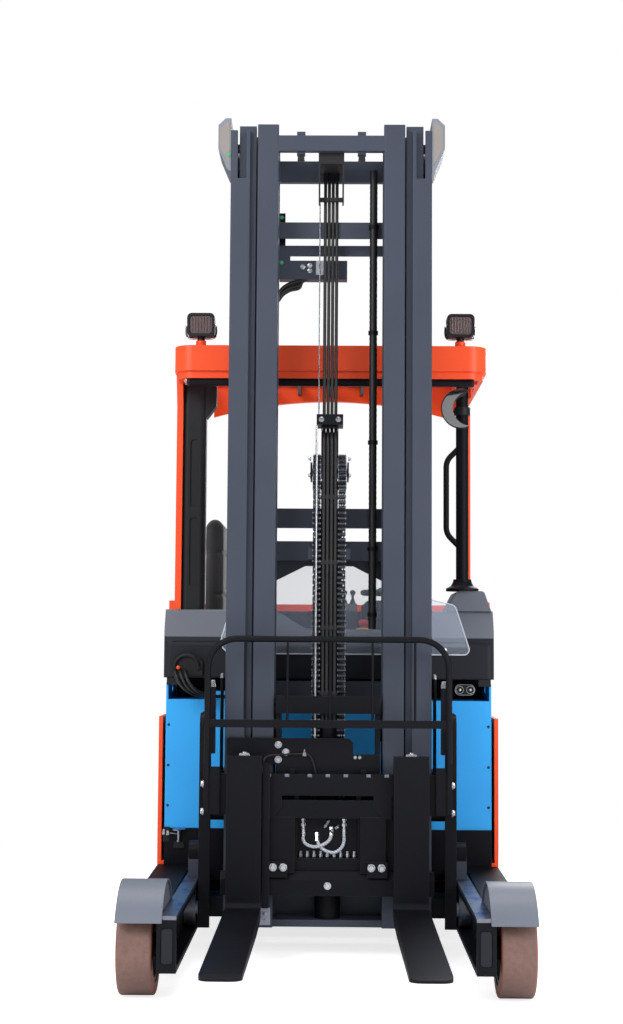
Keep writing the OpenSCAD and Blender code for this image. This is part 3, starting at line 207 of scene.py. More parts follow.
def moulding(name, colour, rough, grain, depth, low=None, level=0.0):
    """Injection moulded ABS: a fine spark-eroded grain, and another colour below a level if one is given,
    which is painted shade.
    """
    material, tree, shader, place = blank(name)
    spark = add(tree, "TexVoronoi", {"Vector": place, "Scale": per_mm(grain)})
    cloud = add(tree, "TexNoise", {"Vector": place, "Scale": per_mm(220), "Detail": 4.0})
    tone = add(tree, "Mix", {FACTOR: cloud.outputs["Fac"], LOW: shade(colour, 0.88),
                             HIGH: shade(colour, 1.1)}, data_type="RGBA")
    # painted shade: below the level the moulding takes the darker colour low in place of its own grey
    if low:
        height = add(tree, "SeparateXYZ", {0: place})
        above_painted_shade = add(tree, "MapRange", {"Value": height.outputs["Z"], "From Min": level * MM,
                                       "From Max": (level + 2) * MM})
        tone = add(tree, "Mix", {FACTOR: above_painted_shade.outputs["Result"], LOW: shade(low, 1.0),
                                 HIGH: tone.outputs[MIXED]}, data_type="RGBA")
    edge = add(tree, "Bevel", {"Radius": bpy.context.scene.truck_sizes.edge}, samples=4)
    bump = add(tree, "Bump", {"Strength": 0.35, "Distance": depth * MM, "Height": spark.outputs["Distance"],
                              "Normal": edge.outputs["Normal"]})
    matt = add(tree, "MapRange",
               {"Value": spark.outputs["Distance"], "To Min": rough - 0.05, "To Max": rough + 0.08})
    wire(tree, shader, {"Specular IOR Level": 0.3, "Base Color": tone.outputs[MIXED],
                        "Roughness": matt.outputs["Result"], "Normal": bump.outputs["Normal"]})
    return material


def rolled_steel(name, colour, rough, stretch, line, stain=None):
    """Bare steel rubbed or turned along one way: fine lines that stretch the highlight, and old stains."""
    material, tree, shader, place = blank(name)
    drawn = add(tree, "Mapping", {"Vector": place, "Scale": stretch})
    # tool marks are finer than 0.5 mm, drawn coarser so that they show
    lines = add(tree, "TexNoise", {"Vector": drawn.outputs["Vector"], "Scale": per_mm(line), "Detail": 4.0})
    tone = add(tree, "Mix", {FACTOR: lines.outputs["Fac"], LOW: shade(colour, 0.75),
                             HIGH: shade(colour, 1.2)}, data_type="RGBA")
    if stain:
        # patches of old paint and rust about 70 mm across
        patch = add(tree, "TexNoise",
                    {"Vector": place, "Scale": per_mm(70), "Detail": 8.0, "Roughness": 0.65})
        cover = add(tree, "MapRange", {"Value": patch.outputs["Fac"], "From Min": 0.5, "From Max": 0.62})
        tone = add(tree, "Mix", {FACTOR: cover.outputs["Result"], LOW: tone.outputs[MIXED],
                                 HIGH: shade(stain, 1.0)}, data_type="RGBA")
    matt = add(tree, "MapRange",
               {"Value": lines.outputs["Fac"], "To Min": rough - 0.08, "To Max": rough + 0.12})
    bump = add(tree, "Bump", {"Strength": 0.2, "Distance": 0.0003, "Height": lines.outputs["Fac"]})
    wire(tree, shader, {"Base Color": tone.outputs[MIXED], "Roughness": matt.outputs["Result"],
                        "Normal": bump.outputs["Normal"], "Metallic": 1.0})
    return material


def cast_iron(name, colour):
    """Sand cast iron, painted thin: pitted skin with dark pores and a dull sheen."""
    material, tree, shader, place = blank(name)
    # sand grain of 2 mm, drawn at 4 mm
    pores = add(tree, "TexNoise", {"Vector": place, "Scale": per_mm(4), "Detail": 6.0})
    tone = add(tree, "Mix", {FACTOR: pores.outputs["Fac"], LOW: shade(colour, 0.6),
                             HIGH: shade(colour, 1.25)}, data_type="RGBA")
    bump = add(tree, "Bump", {"Strength": 0.4, "Distance": 0.0008, "Height": pores.outputs["Fac"]})
    wire(tree, shader, {"Base Color": tone.outputs[MIXED], "Normal": bump.outputs["Normal"], "Metallic": 0.6,
                        "Roughness": 0.5})
    return material


def urethane(name, colour, flank, rough):
    """Cast polyurethane tread: waxy, scuffed round its running face, with cleaner flanks."""
    material, tree, shader, place = blank(name)
    dirt = add(tree, "TexNoise", {"Vector": place, "Scale": per_mm(18), "Detail": 8.0, "Roughness": 0.7})
    grit = add(tree, "TexVoronoi", {"Vector": place, "Scale": per_mm(7)})
    tone = add(tree, "Mix", {FACTOR: dirt.outputs["Fac"], LOW: shade(colour, 0.5), HIGH: shade(colour, 1.35)},
               data_type="RGBA")
    face = add(tree, "SeparateXYZ", {0: add(tree, "NewGeometry").outputs["Normal"]})
    aside = add(tree, "Math", {0: face.outputs["X"]}, operation="ABSOLUTE")
    aside = add(tree, "MapRange", {"Value": aside.outputs["Value"], "From Min": 0.3, "From Max": 0.8})
    tone = add(tree, "Mix", {FACTOR: aside.outputs["Result"], LOW: tone.outputs[MIXED],
                             HIGH: shade(flank, 1.0)}, data_type="RGBA")
    bump = add(tree, "Bump", {"Strength": 0.3, "Distance": 0.0008, "Height": grit.outputs["Distance"]})
    matt = add(tree, "MapRange",
               {"Value": dirt.outputs["Fac"], "To Min": rough - 0.1, "To Max": rough + 0.15})
    wire(tree, shader, {"Base Color": tone.outputs[MIXED], "Roughness": matt.outputs["Result"],
                        "Normal": bump.outputs["Normal"], "Coat Weight": 0.1})
    return material


def woven(name, colour, thread, depth, rough, sheen):
    """Plain weave: warp and weft threads cross, each a raised bar that catches the light, with painted
    highlight and shade.
    """
    material, tree, shader, place = blank(name)
    warp = add(tree, "TexWave", {"Vector": place, "Scale": per_mm(thread) / WAVE_TURN, "Distortion": 0.6},
               bands_direction="DIAGONAL")
    weft = add(tree, "TexWave", {"Vector": place, "Scale": per_mm(thread) / WAVE_TURN, "Distortion": 0.6},
               bands_direction="Z")
    cross = add(tree, "Math", {0: warp.outputs["Fac"], 1: weft.outputs["Fac"]}, operation="MULTIPLY")
    fuzz = add(tree, "TexNoise", {"Vector": place, "Scale": per_mm(60), "Detail": 6.0})
    # painted highlight where the threads cross high and painted shade in the low gaps between them
    tone = add(tree, "Mix", {FACTOR: cross.outputs["Value"], LOW: shade(colour, 0.6),
                             HIGH: shade(colour, 1.4)}, data_type="RGBA")
    tone = add(tree, "Mix", {FACTOR: 0.25, LOW: tone.outputs[MIXED], HIGH: fuzz.outputs["Color"]},
               data_type="RGBA", blend_type="SOFT_LIGHT")
    bump = add(tree, "Bump", {"Strength": 0.6, "Distance": depth * MM, "Height": cross.outputs["Value"]})
    wire(tree, shader, {"Base Color": tone.outputs[MIXED], "Normal": bump.outputs["Normal"],
                        "Roughness": rough, "Sheen Weight": sheen})
    return material


def hard_chrome(name, colour):
    """Ground and chromed rod: near mirror, with faint round grinding marks."""
    material, tree, shader, place = blank(name)
    marks = add(tree, "TexNoise", {"Vector": place, "Scale": per_mm(5), "Detail": 3.0})
    matt = add(tree, "MapRange", {"Value": marks.outputs["Fac"], "To Min": 0.08, "To Max": 0.2})
    wire(tree, shader, {"Roughness": matt.outputs["Result"], "Base Color": shade(colour, 1.0),
                        "Metallic": 1.0})
    return material


def clear_sheet(name, colour, alpha, rough):
    """Polycarbonate or lens sheet: clear, glossy, with a few wipe marks in its gloss."""
    material, tree, shader, place = blank(name)
    wipe = add(tree, "Mapping", {"Vector": place, "Scale": (1.0, 1.0, 6.0)})
    smear = add(tree, "TexNoise", {"Vector": wipe.outputs["Vector"], "Scale": per_mm(120), "Detail": 3.0})
    matt = add(tree, "MapRange", {"Value": smear.outputs["Fac"], "To Min": rough, "To Max": rough + 0.08})
    wire(tree, shader, {"Roughness": matt.outputs["Result"], "Base Color": shade(colour, 1.0),
                        "Alpha": alpha})
    return material


def finish_table():
    """Each finish of the truck by its slot's name, and how it is made."""
    c = bpy.context.scene.truck_colours
    return {
        "orange_paint": lambda n: powder_coat(n, c.orange, rough=0.36, coat=0.12, worn=0.4),
        "mast_paint": lambda n: powder_coat(n, c.mast, rough=0.46, coat=0.0, worn=0.6),
        "black_paint": lambda n: powder_coat(n, c.black, rough=0.46, coat=0.0, worn=0.5, shine=0.16),
        "battery_paint": lambda n: powder_coat(n, c.battery, rough=0.42, coat=0.05, worn=0.4),
        "fender_paint": lambda n: powder_coat(n, c.fender, rough=0.42, coat=0.05, worn=0.6),
        "bare_steel": lambda n: rolled_steel(n, linear("#8B8F9A"), rough=0.38, stretch=(6.0, 0.2, 6.0),
                                             line=6, stain=linear("#3F5A94")),
        "worn_steel": lambda n: rolled_steel(n, linear("#9A9FAE"), rough=0.34, stretch=(0.3, 4.0, 4.0),
                                             line=5),
        "hard_chrome": lambda n: hard_chrome(n, linear("#C9CDD3")),
        "zinc_plate": lambda n: rolled_steel(n, linear("#D2D5DA"), rough=0.26, stretch=(1.0, 1.0, 1.0),
                                             line=4),
        "cast_hub": lambda n: cast_iron(n, linear("#6A6E76")),
        "chain_steel": lambda n: rolled_steel(n, linear("#32343B"), rough=0.38, stretch=(1.0, 1.0, 1.0),
                                              line=5),
        "chain_pins": lambda n: rolled_steel(n, linear("#D4D8E0"), rough=0.34, stretch=(1.0, 1.0, 1.0),
                                             line=4),
        "tread_urethane": lambda n: urethane(n, c.tread, flank=linear("#8A4A34"), rough=0.5),
        "drive_tread": lambda n: urethane(n, linear("#2B2C30"), flank=linear("#26272B"), rough=0.6),
        # the cowl's grey above 1105 mm and near black below it are lit and shaded copies of one moulding:
        # painted shade on its lower, upright front
        "moulded_grey": lambda n: moulding(n, c.cowl, rough=0.5, grain=3, depth=0.25, low=linear("#1B1D26"),
                                           level=1105),
        "moulded_black": lambda n: moulding(n, linear("#1B1C20"), rough=0.45, grain=3, depth=0.2),
        "red_plastic": lambda n: moulding(n, linear("#C9202C"), rough=0.3, grain=6, depth=0.05),
        "yellow_plastic": lambda n: moulding(n, linear("#E8B21E"), rough=0.35, grain=6, depth=0.05),
        "green_plastic": lambda n: moulding(n, linear("#3C9C72"), rough=0.4, grain=6, depth=0.05),
        "seat_fabric": lambda n: woven(n, c.cloth, thread=3, depth=0.5, rough=0.85, sheen=0.3),
        "seat_piping": lambda n: woven(n, linear("#1C1D21"), thread=2, depth=0.3, rough=0.8, sheen=0.2),
        "cover_rim": lambda n: moulding(n, linear("#767B86"), rough=0.45, grain=3, depth=0.1),
        "cover_face": lambda n: moulding(n, linear("#857F7C"), rough=0.5, grain=3, depth=0.1),
        "floor_mat": lambda n: moulding(n, linear("#232428"), rough=0.7, grain=9, depth=1.0),
        "clear_screen": lambda n: clear_sheet(n, linear("#D4E2F8"), alpha=0.2, rough=0.02),
        "sheet_edge": lambda n: clear_sheet(n, linear("#E6ECF4"), alpha=0.75, rough=0.2),
        "lamp_glass": lambda n: clear_sheet(n, linear("#6F5D5E"), alpha=0.9, rough=0.1),
        "mirror_face": lambda n: hard_chrome(n, linear("#EDEFF2")),
        "hose_rubber": lambda n: woven(n, linear("#17181B"), thread=3, depth=0.25, rough=0.5, sheen=0.0),
        "braided_hose": lambda n: woven(n, linear("#B9BEC8"), thread=3, depth=0.5, rough=0.35, sheen=0.0),
    }


# the materials made so far, by the name of their finish
FINISHES = {}


def finish(name):
    """The material of that finish, made when it is first asked for."""
    if name not in FINISHES:
        plain = bpy.data.materials.get(name)
        if plain:
            plain.name = name + "_flat"
        FINISHES[name] = finish_table()[name](name)
    return FINISHES[name]


def arc(u, v, r, start, end, steps):
    """Points of an arc round (u, v), from one angle in degrees to another."""
    angles = [math.radians(start + (end - start) * k / steps) for k in range(steps + 1)]
    return [(u + r * math.cos(a), v + r * math.sin(a)) for a in angles]


def turns(sides):
    """The cosine and sine of each corner of a round with so many sides."""
    return [(math.cos(2 * math.pi * i / sides), math.sin(2 * math.pi * i / sides)) for i in range(sides)]


def crosswise(axis):
    """An axis as a unit vector, with two more that stand square to it and to each other."""
    axis = Vector(axis).normalized()
    across = axis.orthogonal().normalized()
    return axis, across, axis.cross(across)


class Shape:
    """Gathers solids that are given in millimetres into one mesh."""

    def __init__(self):
        self.bm = bmesh.new()

    def loft(self, rings, closed=False):
        """Skins a row of rings that have as many points each, with a cap on both ends unless it is closed."""
        rows = [[self.bm.verts.new(Vector(p) * MM) for p in ring] for ring in rings]
        count = len(rows[0])
        pairs = list(zip(rows, rows[1:])) + ([(rows[-1], rows[0])] if closed else [])
        for a, b in pairs:
            for i in range(count):
                j = (i + 1) % count
                self.bm.faces.new((a[i], a[j], b[j], b[i]))
        if not closed:
            self.bm.faces.new(list(reversed(rows[0])))
            self.bm.faces.new(rows[-1])

    def box(self, low, high, taper=0.0):
        """A block between two corners, its top drawn in by taper on every side."""
        (x0, y0, z0), (x1, y1, z1) = low, high
        t = taper
        self.loft([[(x0, y0, z0), (x1, y0, z0), (x1, y1, z0), (x0, y1, z0)],
                   [(x0 + t, y0 + t, z1), (x1 - t, y0 + t, z1), (x1 - t, y1 - t, z1), (x0 + t, y1 - t, z1)]])

    def slab(self, outline, *depths):
        """An outline of (x, z) points made solid through the given depths in Y."""
        self.loft([[(x, depth, z) for x, z in outline] for depth in depths])

    def turned(self, start, axis, profile, sides=24):
        """A solid of revolution; profile lists (distance along the axis, radius)."""
        axis, u, v = crosswise(axis)
        self.loft([[Vector(start) + axis * d + (u * c + v * s) * r for c, s in turns(sides)]
                   for d, r in profile])

    def rod(self, start, end, r, sides=20):
        """A straight round bar with a small chamfer at each end."""
        way = Vector(end) - Vector(start)
        h, c = way.length, min(r * 0.15, 1.5)
        self.turned(start, way, [(0, r - c), (c, r), (h - c, r), (h, r - c)], sides)

    def ring(self, start, axis, profile, sides=32):
        """A ring of revolution; the profile goes round its own section."""
        axis, u, v = crosswise(axis)
        self.loft([[Vector(start) + axis * d + (u * c + v * s) * r for d, r in profile]
                   for c, s in turns(sides)], closed=True)

    def tube(self, route, r, sides=12, ripple=0.0):
        """A round tube along a smooth route through the points; ripple swells every second ring."""
        route = [Vector(p) for p in route]
        way = (route[1] - route[0]).normalized()
        u = way.orthogonal().normalized()
        rings = []
        for i, point in enumerate(route):
            way = (route[min(i + 1, len(route) - 1)] - route[max(i - 1, 0)]).normalized()
            u = (u - way * u.dot(way)).normalized()
            v = way.cross(u)
            size = r * (1 + (ripple if i % 2 else -ripple))
            rings.append([point + (u * c + v * s) * size for c, s in turns(sides)])
        self.loft(rings)

    def bolt(self, at, axis, across=18, head=9):
        """A hexagon head on its washer, standing out along the axis."""
        axis = Vector(axis).normalized()
        r = across / 2 / math.cos(math.pi / 6)
        self.turned(at, axis, [(-2, r * 1.3), (1.6, r * 1.3), (2.2, r * 1.22)], 20)
        self.turned(Vector(at) + axis * 2, axis, [(0, r), (head * 0.8, r), (head, r * 0.82)], 6)

    def weld(self, start, end, r=4):
        """A rippled weld bead between two points."""
        start, end = Vector(start), Vector(end)
        steps = max(4, int((end - start).length / (r * 1.1)))
        self.tube([start.lerp(end, i / steps) for i in range(steps + 1)], r, 8, 0.12)


def smooth_route(points, steps=6):
    """Points of a Catmull-Rom curve through the given points."""
    p = [Vector(q) for q in points]
    p = [p[0] * 2 - p[1]] + p + [p[-1] * 2 - p[-2]]
    found = []
    for i in range(1, len(p) - 2):
        for k in range(steps):
            t = k / steps
            found.append(0.5 * (2 * p[i] + (p[i + 1] - p[i - 1]) * t
                                + (2 * p[i - 1] - 5 * p[i] + 4 * p[i + 1] - p[i + 2]) * t * t
                                + (3 * p[i] - p[i - 1] - 3 * p[i + 1] + p[i + 2]) * t ** 3))
    return found + [p[-2]]


def piece(shape, name, look, body, edge=0.0):
    """Turns a shape into an object with its finish, riding on a body of the truck."""
    mesh = bpy.data.meshes.new(name)
    bmesh.ops.recalc_face_normals(shape.bm, faces=shape.bm.faces)
    shape.bm.to_mesh(mesh)
    shape.bm.free()
    mesh.materials.append(finish(look))
    mesh.polygons.foreach_set("use_smooth", [True] * len(mesh.polygons))
    mesh.set_sharp_from_angle(angle=math.radians(SHARP_ANGLE))
    made = bpy.data.objects.new(name, mesh)
    bpy.context.scene.collection.objects.link(made)
    if edge:
        bevel = made.modifiers.new("Edges", "BEVEL")
        bevel.width, bevel.segments, bevel.limit_method = edge * MM, 2, "ANGLE"
        bevel.angle_limit = math.radians(EDGE_ANGLE)
    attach(made, body)
    return made


def both(points):
    """Each point and its mirror image across the middle of the truck."""
    return [p for q in points for p in (q, (-q[0],) + tuple(q[1:]))]


def set_camera(scene):
    """The photograph's camera."""
    yaw, pitch, roll = (math.radians(CAMERA_TURNS[word]) for word in ("yaw", "pitch", "roll"))
    right = Vector((math.cos(yaw), math.sin(yaw), 0))
    level = Vector((-math.sin(yaw), math.cos(yaw), 0))
    ahead = level * math.cos(pitch) + Vector((0, 0, math.sin(pitch)))
    upright = Vector((0, 0, math.cos(pitch))) - level * math.sin(pitch)
    across = right * math.cos(roll) + upright * math.sin(roll)
    upright = upright * math.cos(roll) - right * math.sin(roll)
    data = bpy.data.cameras.new("Camera")
    data.sensor_width, data.lens = 36.0, CAMERA_LENS
    data.clip_start, data.clip_end = 0.1, 100.0
    camera = bpy.data.objects.new("Camera", data)
    camera.matrix_world = Matrix.Translation(CAMERA_AT) @ Matrix(
        (across, upright, -ahead)).transposed().to_4x4()
    scene.collection.objects.link(camera)
    scene.camera = camera
    scene.view_settings.view_transform = "Standard"


def light_world(scene):
    """A white surround that fills the shade and is dimmer in reflections."""
    world = scene.world or bpy.data.worlds.new("World")
    scene.world = world
    world.use_nodes = True
    tree = world.node_tree
    tree.nodes.clear()
    path = add(tree, "LightPath")
    seen = add(tree, "Math", {0: path.outputs["Is Camera Ray"], 1: path.outputs["Is Transmission Ray"]},
               operation="MAXIMUM")
    # polished faces mirror a dimmer room than the one that fills the shade
    fill = add(tree, "MapRange", {"Value": path.outputs["Is Glossy Ray"], "To Min": 0.92, "To Max": 0.25})
    level = add(tree, "Math", {0: seen.outputs["Value"], 1: fill.outputs["Result"]}, operation="MAXIMUM")
    sky = add(tree, "Background", {"Color": (1, 1, 1, 1), "Strength": level.outputs["Value"]})
    add(tree, "OutputWorld", {"Surface": sky.outputs["Background"]})


def lay_floor(scene):
    """A pale floor that keeps the truck's shadow and fades to plain white."""
    material, tree, shader, place = blank("studio_floor")
    out = next(n for n in tree.nodes if n.bl_idname == "ShaderNodeOutputMaterial")
    path = add(tree, "LightPath")
    speck = add(tree, "TexNoise", {"Vector": place, "Scale": per_mm(900), "Detail": 2.0})
    tone = add(tree, "Mix", {FACTOR: speck.outputs["Fac"], LOW: (0.78, 0.78, 0.79, 1),
                             HIGH: (0.82, 0.82, 0.83, 1)}, data_type="RGBA")
    wire(tree, shader, {"Base Color": tone.outputs[MIXED], "Roughness": 0.9})
    glow = add(tree, "Emission", {"Color": (1, 1, 1, 1), "Strength": 0.75})
    lit = add(tree, "AddShader", {0: shader.outputs["BSDF"], 1: glow.outputs["Emission"]})
    # the floor fades to plain white from 1.6 m to 3.4 m out
    away = add(tree, "VectorMath", {0: place}, operation="LENGTH")
    fade = add(tree, "MapRange", {"Value": away.outputs["Value"], "From Min": 1.6, "From Max": 3.4})
    white = add(tree, "Emission", {"Color": (1, 1, 1, 1), "Strength": 1.0})
    lit = add(tree, "MixShader", {0: fade.outputs["Result"], 1: lit.outputs["Shader"],
                                  2: white.outputs["Emission"]})
    mixed = add(tree, "MixShader", {0: path.outputs["Is Camera Ray"], 1: shader.outputs["BSDF"],
                                    2: lit.outputs["Shader"]})
    tree.links.new(mixed.outputs["Shader"], out.inputs["Surface"])
    floor = Shape()
    floor.turned((0, 0, -20), (0, 0, 1), [(0, 9000), (20, 9000)], 96)
    mesh = bpy.data.meshes.new("studio_floor")
    floor.bm.to_mesh(mesh)
    floor.bm.free()
    mesh.materials.append(material)
    made = bpy.data.objects.new("studio_floor", mesh)
    scene.collection.objects.link(made)


def hang_lamps(scene):
    """Four large round lamps that look at the middle of the truck."""
    lamps = [("key_lamp", (-3.2, -4.6, 4.6), 3.2, 200), ("fill_lamp", (3.8, -4.2, 2.6), 3.0, 120),
             ("top_lamp", (0.0, 0.8, 6.2), 4.0, 180), ("rear_lamp", (1.5, 5.0, 3.6), 3.0, 110)]
    for name, at, size, power in lamps:
        lamp = bpy.data.lights.new(name, "AREA")
        lamp.shape, lamp.size, lamp.energy = "DISK", size, power
        lamp_object = bpy.data.objects.new(name, lamp)
        lamp_object.location = at
        lamp_object.rotation_euler = (Vector((0, 0, 1.2)) - Vector(at)).to_track_quat("-Z", "Y").to_euler()
        scene.collection.objects.link(lamp_object)


class TRUCK_OT_stage(bpy.types.Operator):
    """Camera at the photograph's view, pale floor, white surround and soft studio lamps"""

    bl_idname = "truck.stage"
    bl_label = "Camera, floor and lamps"

    def execute(self, context):
        set_camera(context.scene)
        light_world(context.scene)
        lay_floor(context.scene)
        hang_lamps(context.scene)
        return {"FINISHED"}


# points of the three leads' routes in millimetres, the same as the part's
LEAD_ROUTES = [
    [(-571, 372, 975), (-571, 354, 975), (-569, 334, 970), (-564, 318, 959), (-555, 308, 943),
     (-542, 306, 925), (-524, 312, 908), (-502, 325, 895), (-478, 343, 887), (-453, 364, 883),
     (-430, 388, 882), (-414, 408, 883), (-408, 424, 884), (-408, 440, 884)],
    [(-552, 372, 975), (-552, 354, 975), (-550, 333, 970), (-545, 316, 959), (-536, 305, 943),
     (-523, 302, 925), (-505, 308, 908), (-483, 321, 896), (-459, 339, 888), (-434, 361, 884),
     (-412, 385, 882), (-396, 406, 883), (-390, 424, 884), (-390, 440, 884)],
    [(-534, 372, 975), (-534, 354, 975), (-532, 332, 970), (-527, 314, 959), (-518, 302, 943),
     (-505, 298, 925), (-487, 303, 908), (-465, 316, 897), (-441, 334, 889), (-416, 357, 885),
     (-394, 382, 882), (-378, 404, 883), (-372, 424, 884), (-372, 440, 884)],
]


class TRUCK_OT_leads(bpy.types.Operator):
    """Battery leads from the plug down to the battery"""

    bl_idname = "truck.leads"
    bl_label = "Battery leads"

    def execute(self, context):
        across = context.scene.truck_sizes.lead
        for number, route in enumerate(LEAD_ROUTES, 1):
            curve = bpy.data.curves.new(f"battery_lead_{number}", "CURVE")
            curve.dimensions = "3D"
            line = curve.splines.new("POLY")
            points = smooth_route(route, 3)
            line.points.add(len(points) - 1)
            for spot, point in zip(line.points, points):
                spot.co = (*(point * MM), 1.0)
            curve.bevel_depth, curve.bevel_resolution = across / 2, 4
            curve.use_fill_caps = True
            curve.materials.append(finish("hose_rubber"))
            lead = bpy.data.objects.new(f"battery_lead_{number}", curve)
            context.scene.collection.objects.link(lead)
            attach(lead, "chassis")
            if number == 1:
                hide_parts("battery_leads")
        return {"FINISHED"}


class TRUCK_OT_finishes(bpy.types.Operator):
    """Paint, steel, rubber and plastic on every piece of the frame"""

    bl_idname = "truck.finishes"
    bl_label = "Finishes of the frame"

    def execute(self, context):
        for row in frame["record"]["subparts"]:
            node = frame["nodes"][row["node"]]
            node.data.materials.clear()
            node.data.materials.append(finish(row["material_slot"]))
        return {"FINISHED"}


def laced_plate(shape, a, b, x, thick, half):
    """One figure-eight side plate of a leaf chain between two pins, in the plane of Y and Z."""
    way = (b - a).normalized()
    side = Vector((0, -way.z, way.y))
    outline = []
    for centre, turn in ((b, -90), (a, 90)):
        for k in range(5):
            angle = math.radians(turn + 45 * k)
            outline.append(centre + way * math.cos(angle) * half + side * math.sin(angle) * half)
    waist = half * 0.5
    middle = (a + b) / 2
    outline.insert(5, middle + side * waist)
    outline.append(middle - side * waist)
    shape.loft([[(x, p.y, p.z) for p in outline], [(x + thick, p.y, p.z) for p in outline]])


def leaf_chain(name, body, x, route, pitch, width, half):
    """A laced leaf chain along a route of (y, z) points: dark plates on pale pins."""
    plates, pins = Shape(), Shape()
    route = [Vector((0, y, z)) for y, z in route]
    spots, left = [route[0]], pitch
    for a, b in zip(route, route[1:]):
        length, gone = (b - a).length, 0.0
        while gone + left <= length:
            gone += left
            spots.append(a.lerp(b, gone / length))
            left = pitch
        left -= length - gone
    leaves = 6
    thick = width / (leaves + 0.6)
    for i, spot in enumerate(spots):
        pins.turned((x - width / 2 - 1.2, spot.y, spot.z), (1, 0, 0), [(0, 3.8), (width + 2.4, 3.8)], 8)
        if i + 1 < len(spots):
            for k in range(i % 2, leaves, 2):
                laced_plate(plates, spot, spots[i + 1], x - width / 2 + k * thick * 1.1, thick * 0.86, half)
    made = piece(plates, name, "chain_steel", body)
    piece(pins, name + "_pins", "chain_pins", body)
    return made


class TRUCK_OT_chains(bpy.types.Operator):
    """Leaf chains of the lift head and of the mast stages, with their sheaves"""

    bl_idname = "truck.chains"
    bl_label = "Chains and sheaves"

    def execute(self, context):
        sizes = context.scene.truck_sizes
        lift_x, free_y, head_z, r = 45, 62, 1690, 60
        groove = [(0, 14.4), (0, 61), (2.2, 61), (3, 52.6), (27, 52.6), (27.8, 61), (30, 61), (30, 14.4)]
        route = [(free_y - r, 762)] + arc(free_y, head_z, r, 180, 0, 15) + [(free_y + r, 347)]
        sheaves = Shape()
        for side, word in SIDES:
            chain = leaf_chain(f"lift_chain_{word}", "head_stage", side * lift_x, route,
                               pitch=sizes.lift_pitch / MM, width=25, half=6.6)
            if side < 0:
                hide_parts("lift_chains")
            sheaves.ring((side * lift_x - 15, free_y, head_z), (1, 0, 0), groove, 48)
        piece(sheaves, "lift_sheaves", "worn_steel", "head_stage")

        stage_x, stage_y, top, r = 226, 196, 2850, 45
        groove = [(0, 10.4), (0, 46), (2, 46), (2.6, 38.6), (23.4, 38.6), (24, 46), (26, 46), (26, 10.4)]
        route = [(stage_y - r, 152)] + arc(stage_y, top, r, 180, 0, 12) + [(stage_y + r, 2552)]
        wheels = Shape()
        for side, word in SIDES:
            x = side * stage_x
            chain = leaf_chain(f"stage_chain_{word}", "middle_stage", x, route,
                               pitch=sizes.stage_pitch / MM, width=22, half=5.8)
            if side < 0:
                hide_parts("stage_chains")
            wheels.ring((x - 13, stage_y, top), (1, 0, 0), groove, 40)
            wheels.rod((x - 30, stage_y, top), (x + 30, stage_y, top), 10)
        piece(wheels, "stage_sheaves", "worn_steel", "middle_stage")
        return {"FINISHED"}


class TRUCK_OT_wheels(bpy.types.Operator):
    """Wheel bolts, bearing caps and axle nuts of the load wheels, and the drive wheel's nuts"""

    bl_idname = "truck.wheels"
    bl_label = "Wheel fittings"

    def execute(self, context):
        hub_x, load_y, load_z = 593, -610, 150
        for side, word in SIDES:
            bolts, cap, nut = Shape(), Shape(), Shape()
            for y, z in arc(load_y, load_z, 78, 15, 315, 5):
                bolts.bolt((side * (hub_x + 0.5), y, z), (side, 0, 0), across=16, head=8)
            cap.ring((side * hub_x, load_y, load_z), (side, 0, 0),
                     [(-3, 27), (-3, 60), (5, 60), (9, 54), (9, 27)], 40)
            piece(bolts, f"load_wheel_bolts_{word}", "zinc_plate", f"load_wheel_{word}")
            piece(cap, f"load_bearing_cap_{word}", "cast_hub", f"load_wheel_{word}")
            nut.bolt((side * (hub_x + 24), load_y, load_z), (side, 0, 0), across=46, head=11)
            piece(nut, f"load_axle_nut_{word}", "zinc_plate", "chassis")
        drive_y, drive_z, face_x = 1015, 171.5, -50
        nuts = Shape()
        for y, z in arc(drive_y, drive_z, 88, 0, 315, 7):
            nuts.bolt((face_x, y, z), (-1, 0, 0), across=19, head=9)
        piece(nuts, "drive_wheel_nuts", "zinc_plate", "drive_wheel")
        return {"FINISHED"}


def fasten_crossbars():
    """Bolts and weld beads of the outer mast's crossbars."""
    bolts = Shape()
    for x, z in both([(340, 1394), (316, 1394), (340, 899), (316, 899), (336, 2527)]):
        bolts.bolt((x, CROSSBAR_Y - 0.4, z), (0, -1, 0), across=17, head=8)
    piece(bolts, "mast_bolts", "chain_steel", "reach_stage")
    beads = Shape()
    for low, high in ((2508, 2546), (1363, 1425), (850, 947)):
        for side in (-1, 1):
            x, y = side * 289, CROSSBAR_Y - 1
            beads.weld((x, y, low + 2), (x, y, high - 2), 3.5)
    piece(beads, "mast_welds", "mast_paint", "reach_stage")


def edge_head_covers():
    """Pale rims and faces on the head covers, outside the mast rails."""
    low, high = (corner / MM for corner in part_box("head_covers"))
    past_rail = 46
    x0, x1 = high.x - past_rail, high.x
    rim, face = Shape(), Shape()
    for side in (-1, 1):
        edge = [(x0, low.z), (x0 + 14, low.z + 10), (x1, high.z - 110), (x1, high.z - 25), (x1 - 26, high.z),
                (x0, high.z)]
        inner = [(x0 + 5, low.z + 22), (x1 - 6, high.z - 108), (x1 - 6, high.z - 36), (x1 - 28, high.z - 14),
                 (x0 + 5, high.z - 14)]
        for shape, outline, front in ((rim, edge, 0.8), (face, inner, 1.6)):
            shape.slab([(side * x, z) for x, z in outline], low.y + 0.5, low.y - front)
    piece(rim, "head_cover_rims", "cover_rim", "reach_stage")
    piece(face, "head_cover_faces", "cover_face", "reach_stage")


